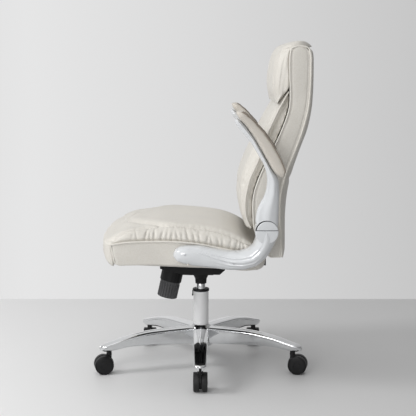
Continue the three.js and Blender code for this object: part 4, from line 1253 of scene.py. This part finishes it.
def add_casters():
    tread, face = wheel_profile()
    tyre = [(r + 0.02, h) for r, h in tread[4:8]] + [(29.2, 18), (29.2, 6)]
    hub = [(0, -8), (21, -8), (22, -7), (22, 7), (21, 8), (0, 8)]
    arch = [(0, -2.6), (31.2, -2.6), (31.8, -1.8), (31.8, 1.8), (31.2, 2.6), (0, 2.6)]
    neck = [(0, 60.7), (7.8, 60.7), (8.6, 61.6), (8.7, 66), (8.1, 68), (8.1, 72), (8.6, 73), (8.4, 74.2)]
    neck += [(5.9, 74.2), (5.9, 63), (0, 63)]
    for number, heading in enumerate(HEADINGS, 1):
        turn = Matrix.Translation(stem_place(number - 1)) @ Matrix.Rotation(math.radians(heading - 90), 4, "Z")
        for letter in "ab":
            wheel = joined(on_axle("wheel", tread + face, WHEEL_PLASTIC), on_axle("band", tyre, TREAD))
            if letter == "a":
                flip(wheel)
            wheel.data.transform(turn)
            wheel.name = f"caster_wheel_disc_{number}{letter}"
            finished(wheel, f"wheel_{number}{letter}", [f"caster_wheel_{number}{letter}"])
        fork = on_axle("fork", hub, BLACK_PLASTIC, 48)
        stubs = on_axle("stubs", [(0, -20), (3, -20), (3, 20), (0, 20)], STEEL, 24)
        web = block("web", (-0.003, -0.0078, 0.032), (0.003, TRAIL - 0.001, 0.0615), BLACK_PLASTIC)
        brow = on_axle("brow", arch, BLACK_PLASTIC)
        cut(brow, block("cutter", (-0.02, -0.03, -0.01), (0.02, 0.06, 0.0335)))
        cut(brow, block("cutter", (-0.02, TRAIL, 0.0), (0.02, 0.06, 0.07)))
        socket = lathe("socket", neck, BLACK_PLASTIC, segments=40)
        hood = joined(fork, bevelled(web, 0.0014), brow, socket, stubs)
        hood.data.polygons.foreach_set("use_smooth", [True] * len(hood.data.polygons))
        hood.data.transform(turn)
        hood.name = f"caster_yoke_{number}"
        finished(hood, f"caster_{number}", [f"caster_hood_{number}"])


# ---------- tension knob ----------
KNOB_STAND = Matrix.Translation((0, -0.111, 0.230)) @ Matrix.Rotation(-math.radians(12.7), 4, "X")


def add_tension_spring():
    """The coil in the knob, which moves with the mechanism."""
    up = np.linspace(0, 1, 160)
    turns = 9 * math.pi * up
    path = np.column_stack([0.020 * np.cos(turns), 0.020 * np.sin(turns), 0.022 + 0.062 * up])
    coil = tube("tension_spring_coil", path, 0.003, BLACK_STEEL, 12)
    coil.data.transform(KNOB_STAND)
    finished(coil, "mechanism", ["tension_spring"])
    axis, fixed_end = KNOB_STAND.to_3x3() @ Vector((0, 0, 1)), KNOB_STAND @ Vector((0, 0, 0.087))
    tuple(axis)
    tuple(fixed_end)
    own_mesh(coil)


def add_tension_knob():
    ribs = 22
    turns = ring_turns(ribs * 10)
    wave = 0.5 + 0.5 * np.cos(turns * ribs)
    rib = 0.0027 * np.clip(wave * 2.2 - 0.6, 0, 1)
    rings = []
    # (height, radius) in millimetres, and how much of a rib stands out there
    profile = [(0, 0), (0, 27.5), (0.6, 29.4, 0.15), (2.2, 29.9, 0.8), (4, 29.9, 1), (46, 30, 1), (48.6, 31, 0.25)]
    profile += [(49.2, 32.2), (54.8, 32.5), (55.4, 31.8), (55.4, 26.6), (15, 26.4), (14.2, 25.6), (14.2, 5.6)]
    for z, r, *ribbed in [*profile, (5.2, 5.6), (5.2, 0)]:
        radius = r * MM + rib * sum(ribbed)
        rings.append(row(radius * np.cos(turns), radius * np.sin(turns), z * MM))
    knob = loft("tension_knob_ribbed", rings, KNOB_PLASTIC, 32)
    foot = [(0, -0.4), (20, -0.4), (21, 0.2), (22, 0.2), (22.6, -0.3), (23.2, 0.3), (0, 0.6)]
    joined(knob, lathe("recess", foot, KNOB_PLASTIC))
    knob.data.transform(KNOB_STAND)
    shaded(knob, KNOB_PLASTIC, 32)
    finished(knob, "tension_knob", ["tension_knob"])


# ---------- carried-over CAD nodes ----------
def dress(nodes, material, bevel=0.0):
    """Gives CAD nodes a material, and where a bevel is given a softened edge."""
    for name in nodes:
        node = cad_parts[name]
        node.data.materials.clear()
        node.data.materials.append(material)
        if bevel:
            modifier_on(node, "WELD", merge_threshold=1e-5)
            modifier_on(node, "BEVEL", width=bevel, segments=3, limit_method="ANGLE", angle_limit=math.radians(35))


def dress_cad_nodes():
    dress(["seat_plate", "mechanism_housing", "spring_housing"], BLACK_STEEL, 0.0014)
    dress(["back_strap_left", "back_strap_right", "lever_rod"], BLACK_STEEL)
    dress(["lever_handle"], BLACK_PLASTIC, 0.0012)
    dress(["guide_bushing"], BLACK_PLASTIC)
    steel = ["thrust_bearing", "rod_clip", "piston_rod", "tilt_axle", "release_pin", "tension_bolt", "thrust_washer"]
    steel += [f"{name}_{side}" for name in ("hinge_pin", "friction_washer") for side in ("left", "right")]
    steel += [f"caster_stem_{n}" for n in range(1, LEGS + 1)]
    dress(steel, STEEL)
    dress(["seat_board", "back_board"], PLYWOOD)
    dress(["dust_cover"], DUST_FABRIC)


def add_floor():
    corners = [(-1.0, -7, 0), (7, -7, 0), (7, 7, 0), (-1.0, 7, 0)]
    f = Finish("floor_paint_with_painted_shade", (0.6, 0.6, 0.6), 0.6, Specular_IOR_Level=0.3)
    # Painted shade: the floor darkens from 0.82 to 0.56 towards +Y, standing in for the chair's soft shadow cast to
    # that side.
    f.set("Base Color", f.ramp(f.range(f.place_along("Y"), 0, 1, -0.9, 1), (0.82,) * 3, (0.56,) * 3, 0, 1))
    f.set("Roughness", f.range(f.noise(3.0, 3.0), 0.48, 0.6))
    floor = new_piece("floor", corners, [(0, 1, 2, 3)], f.material)


add_camera()
add_floor()
add_lights()
add_world()
SCENE.view_settings.view_transform = "Standard"
add_seat_cushion()
add_seat_band()
add_back_band()
add_back_piping()
add_rear_panel()
add_lumbar_cushion()
add_head_cushion()
add_arm_frames()
add_brackets()
add_arm_pads()
add_base()
add_column()
add_casters()
add_tension_knob()
add_tension_spring()
dress_cad_nodes()
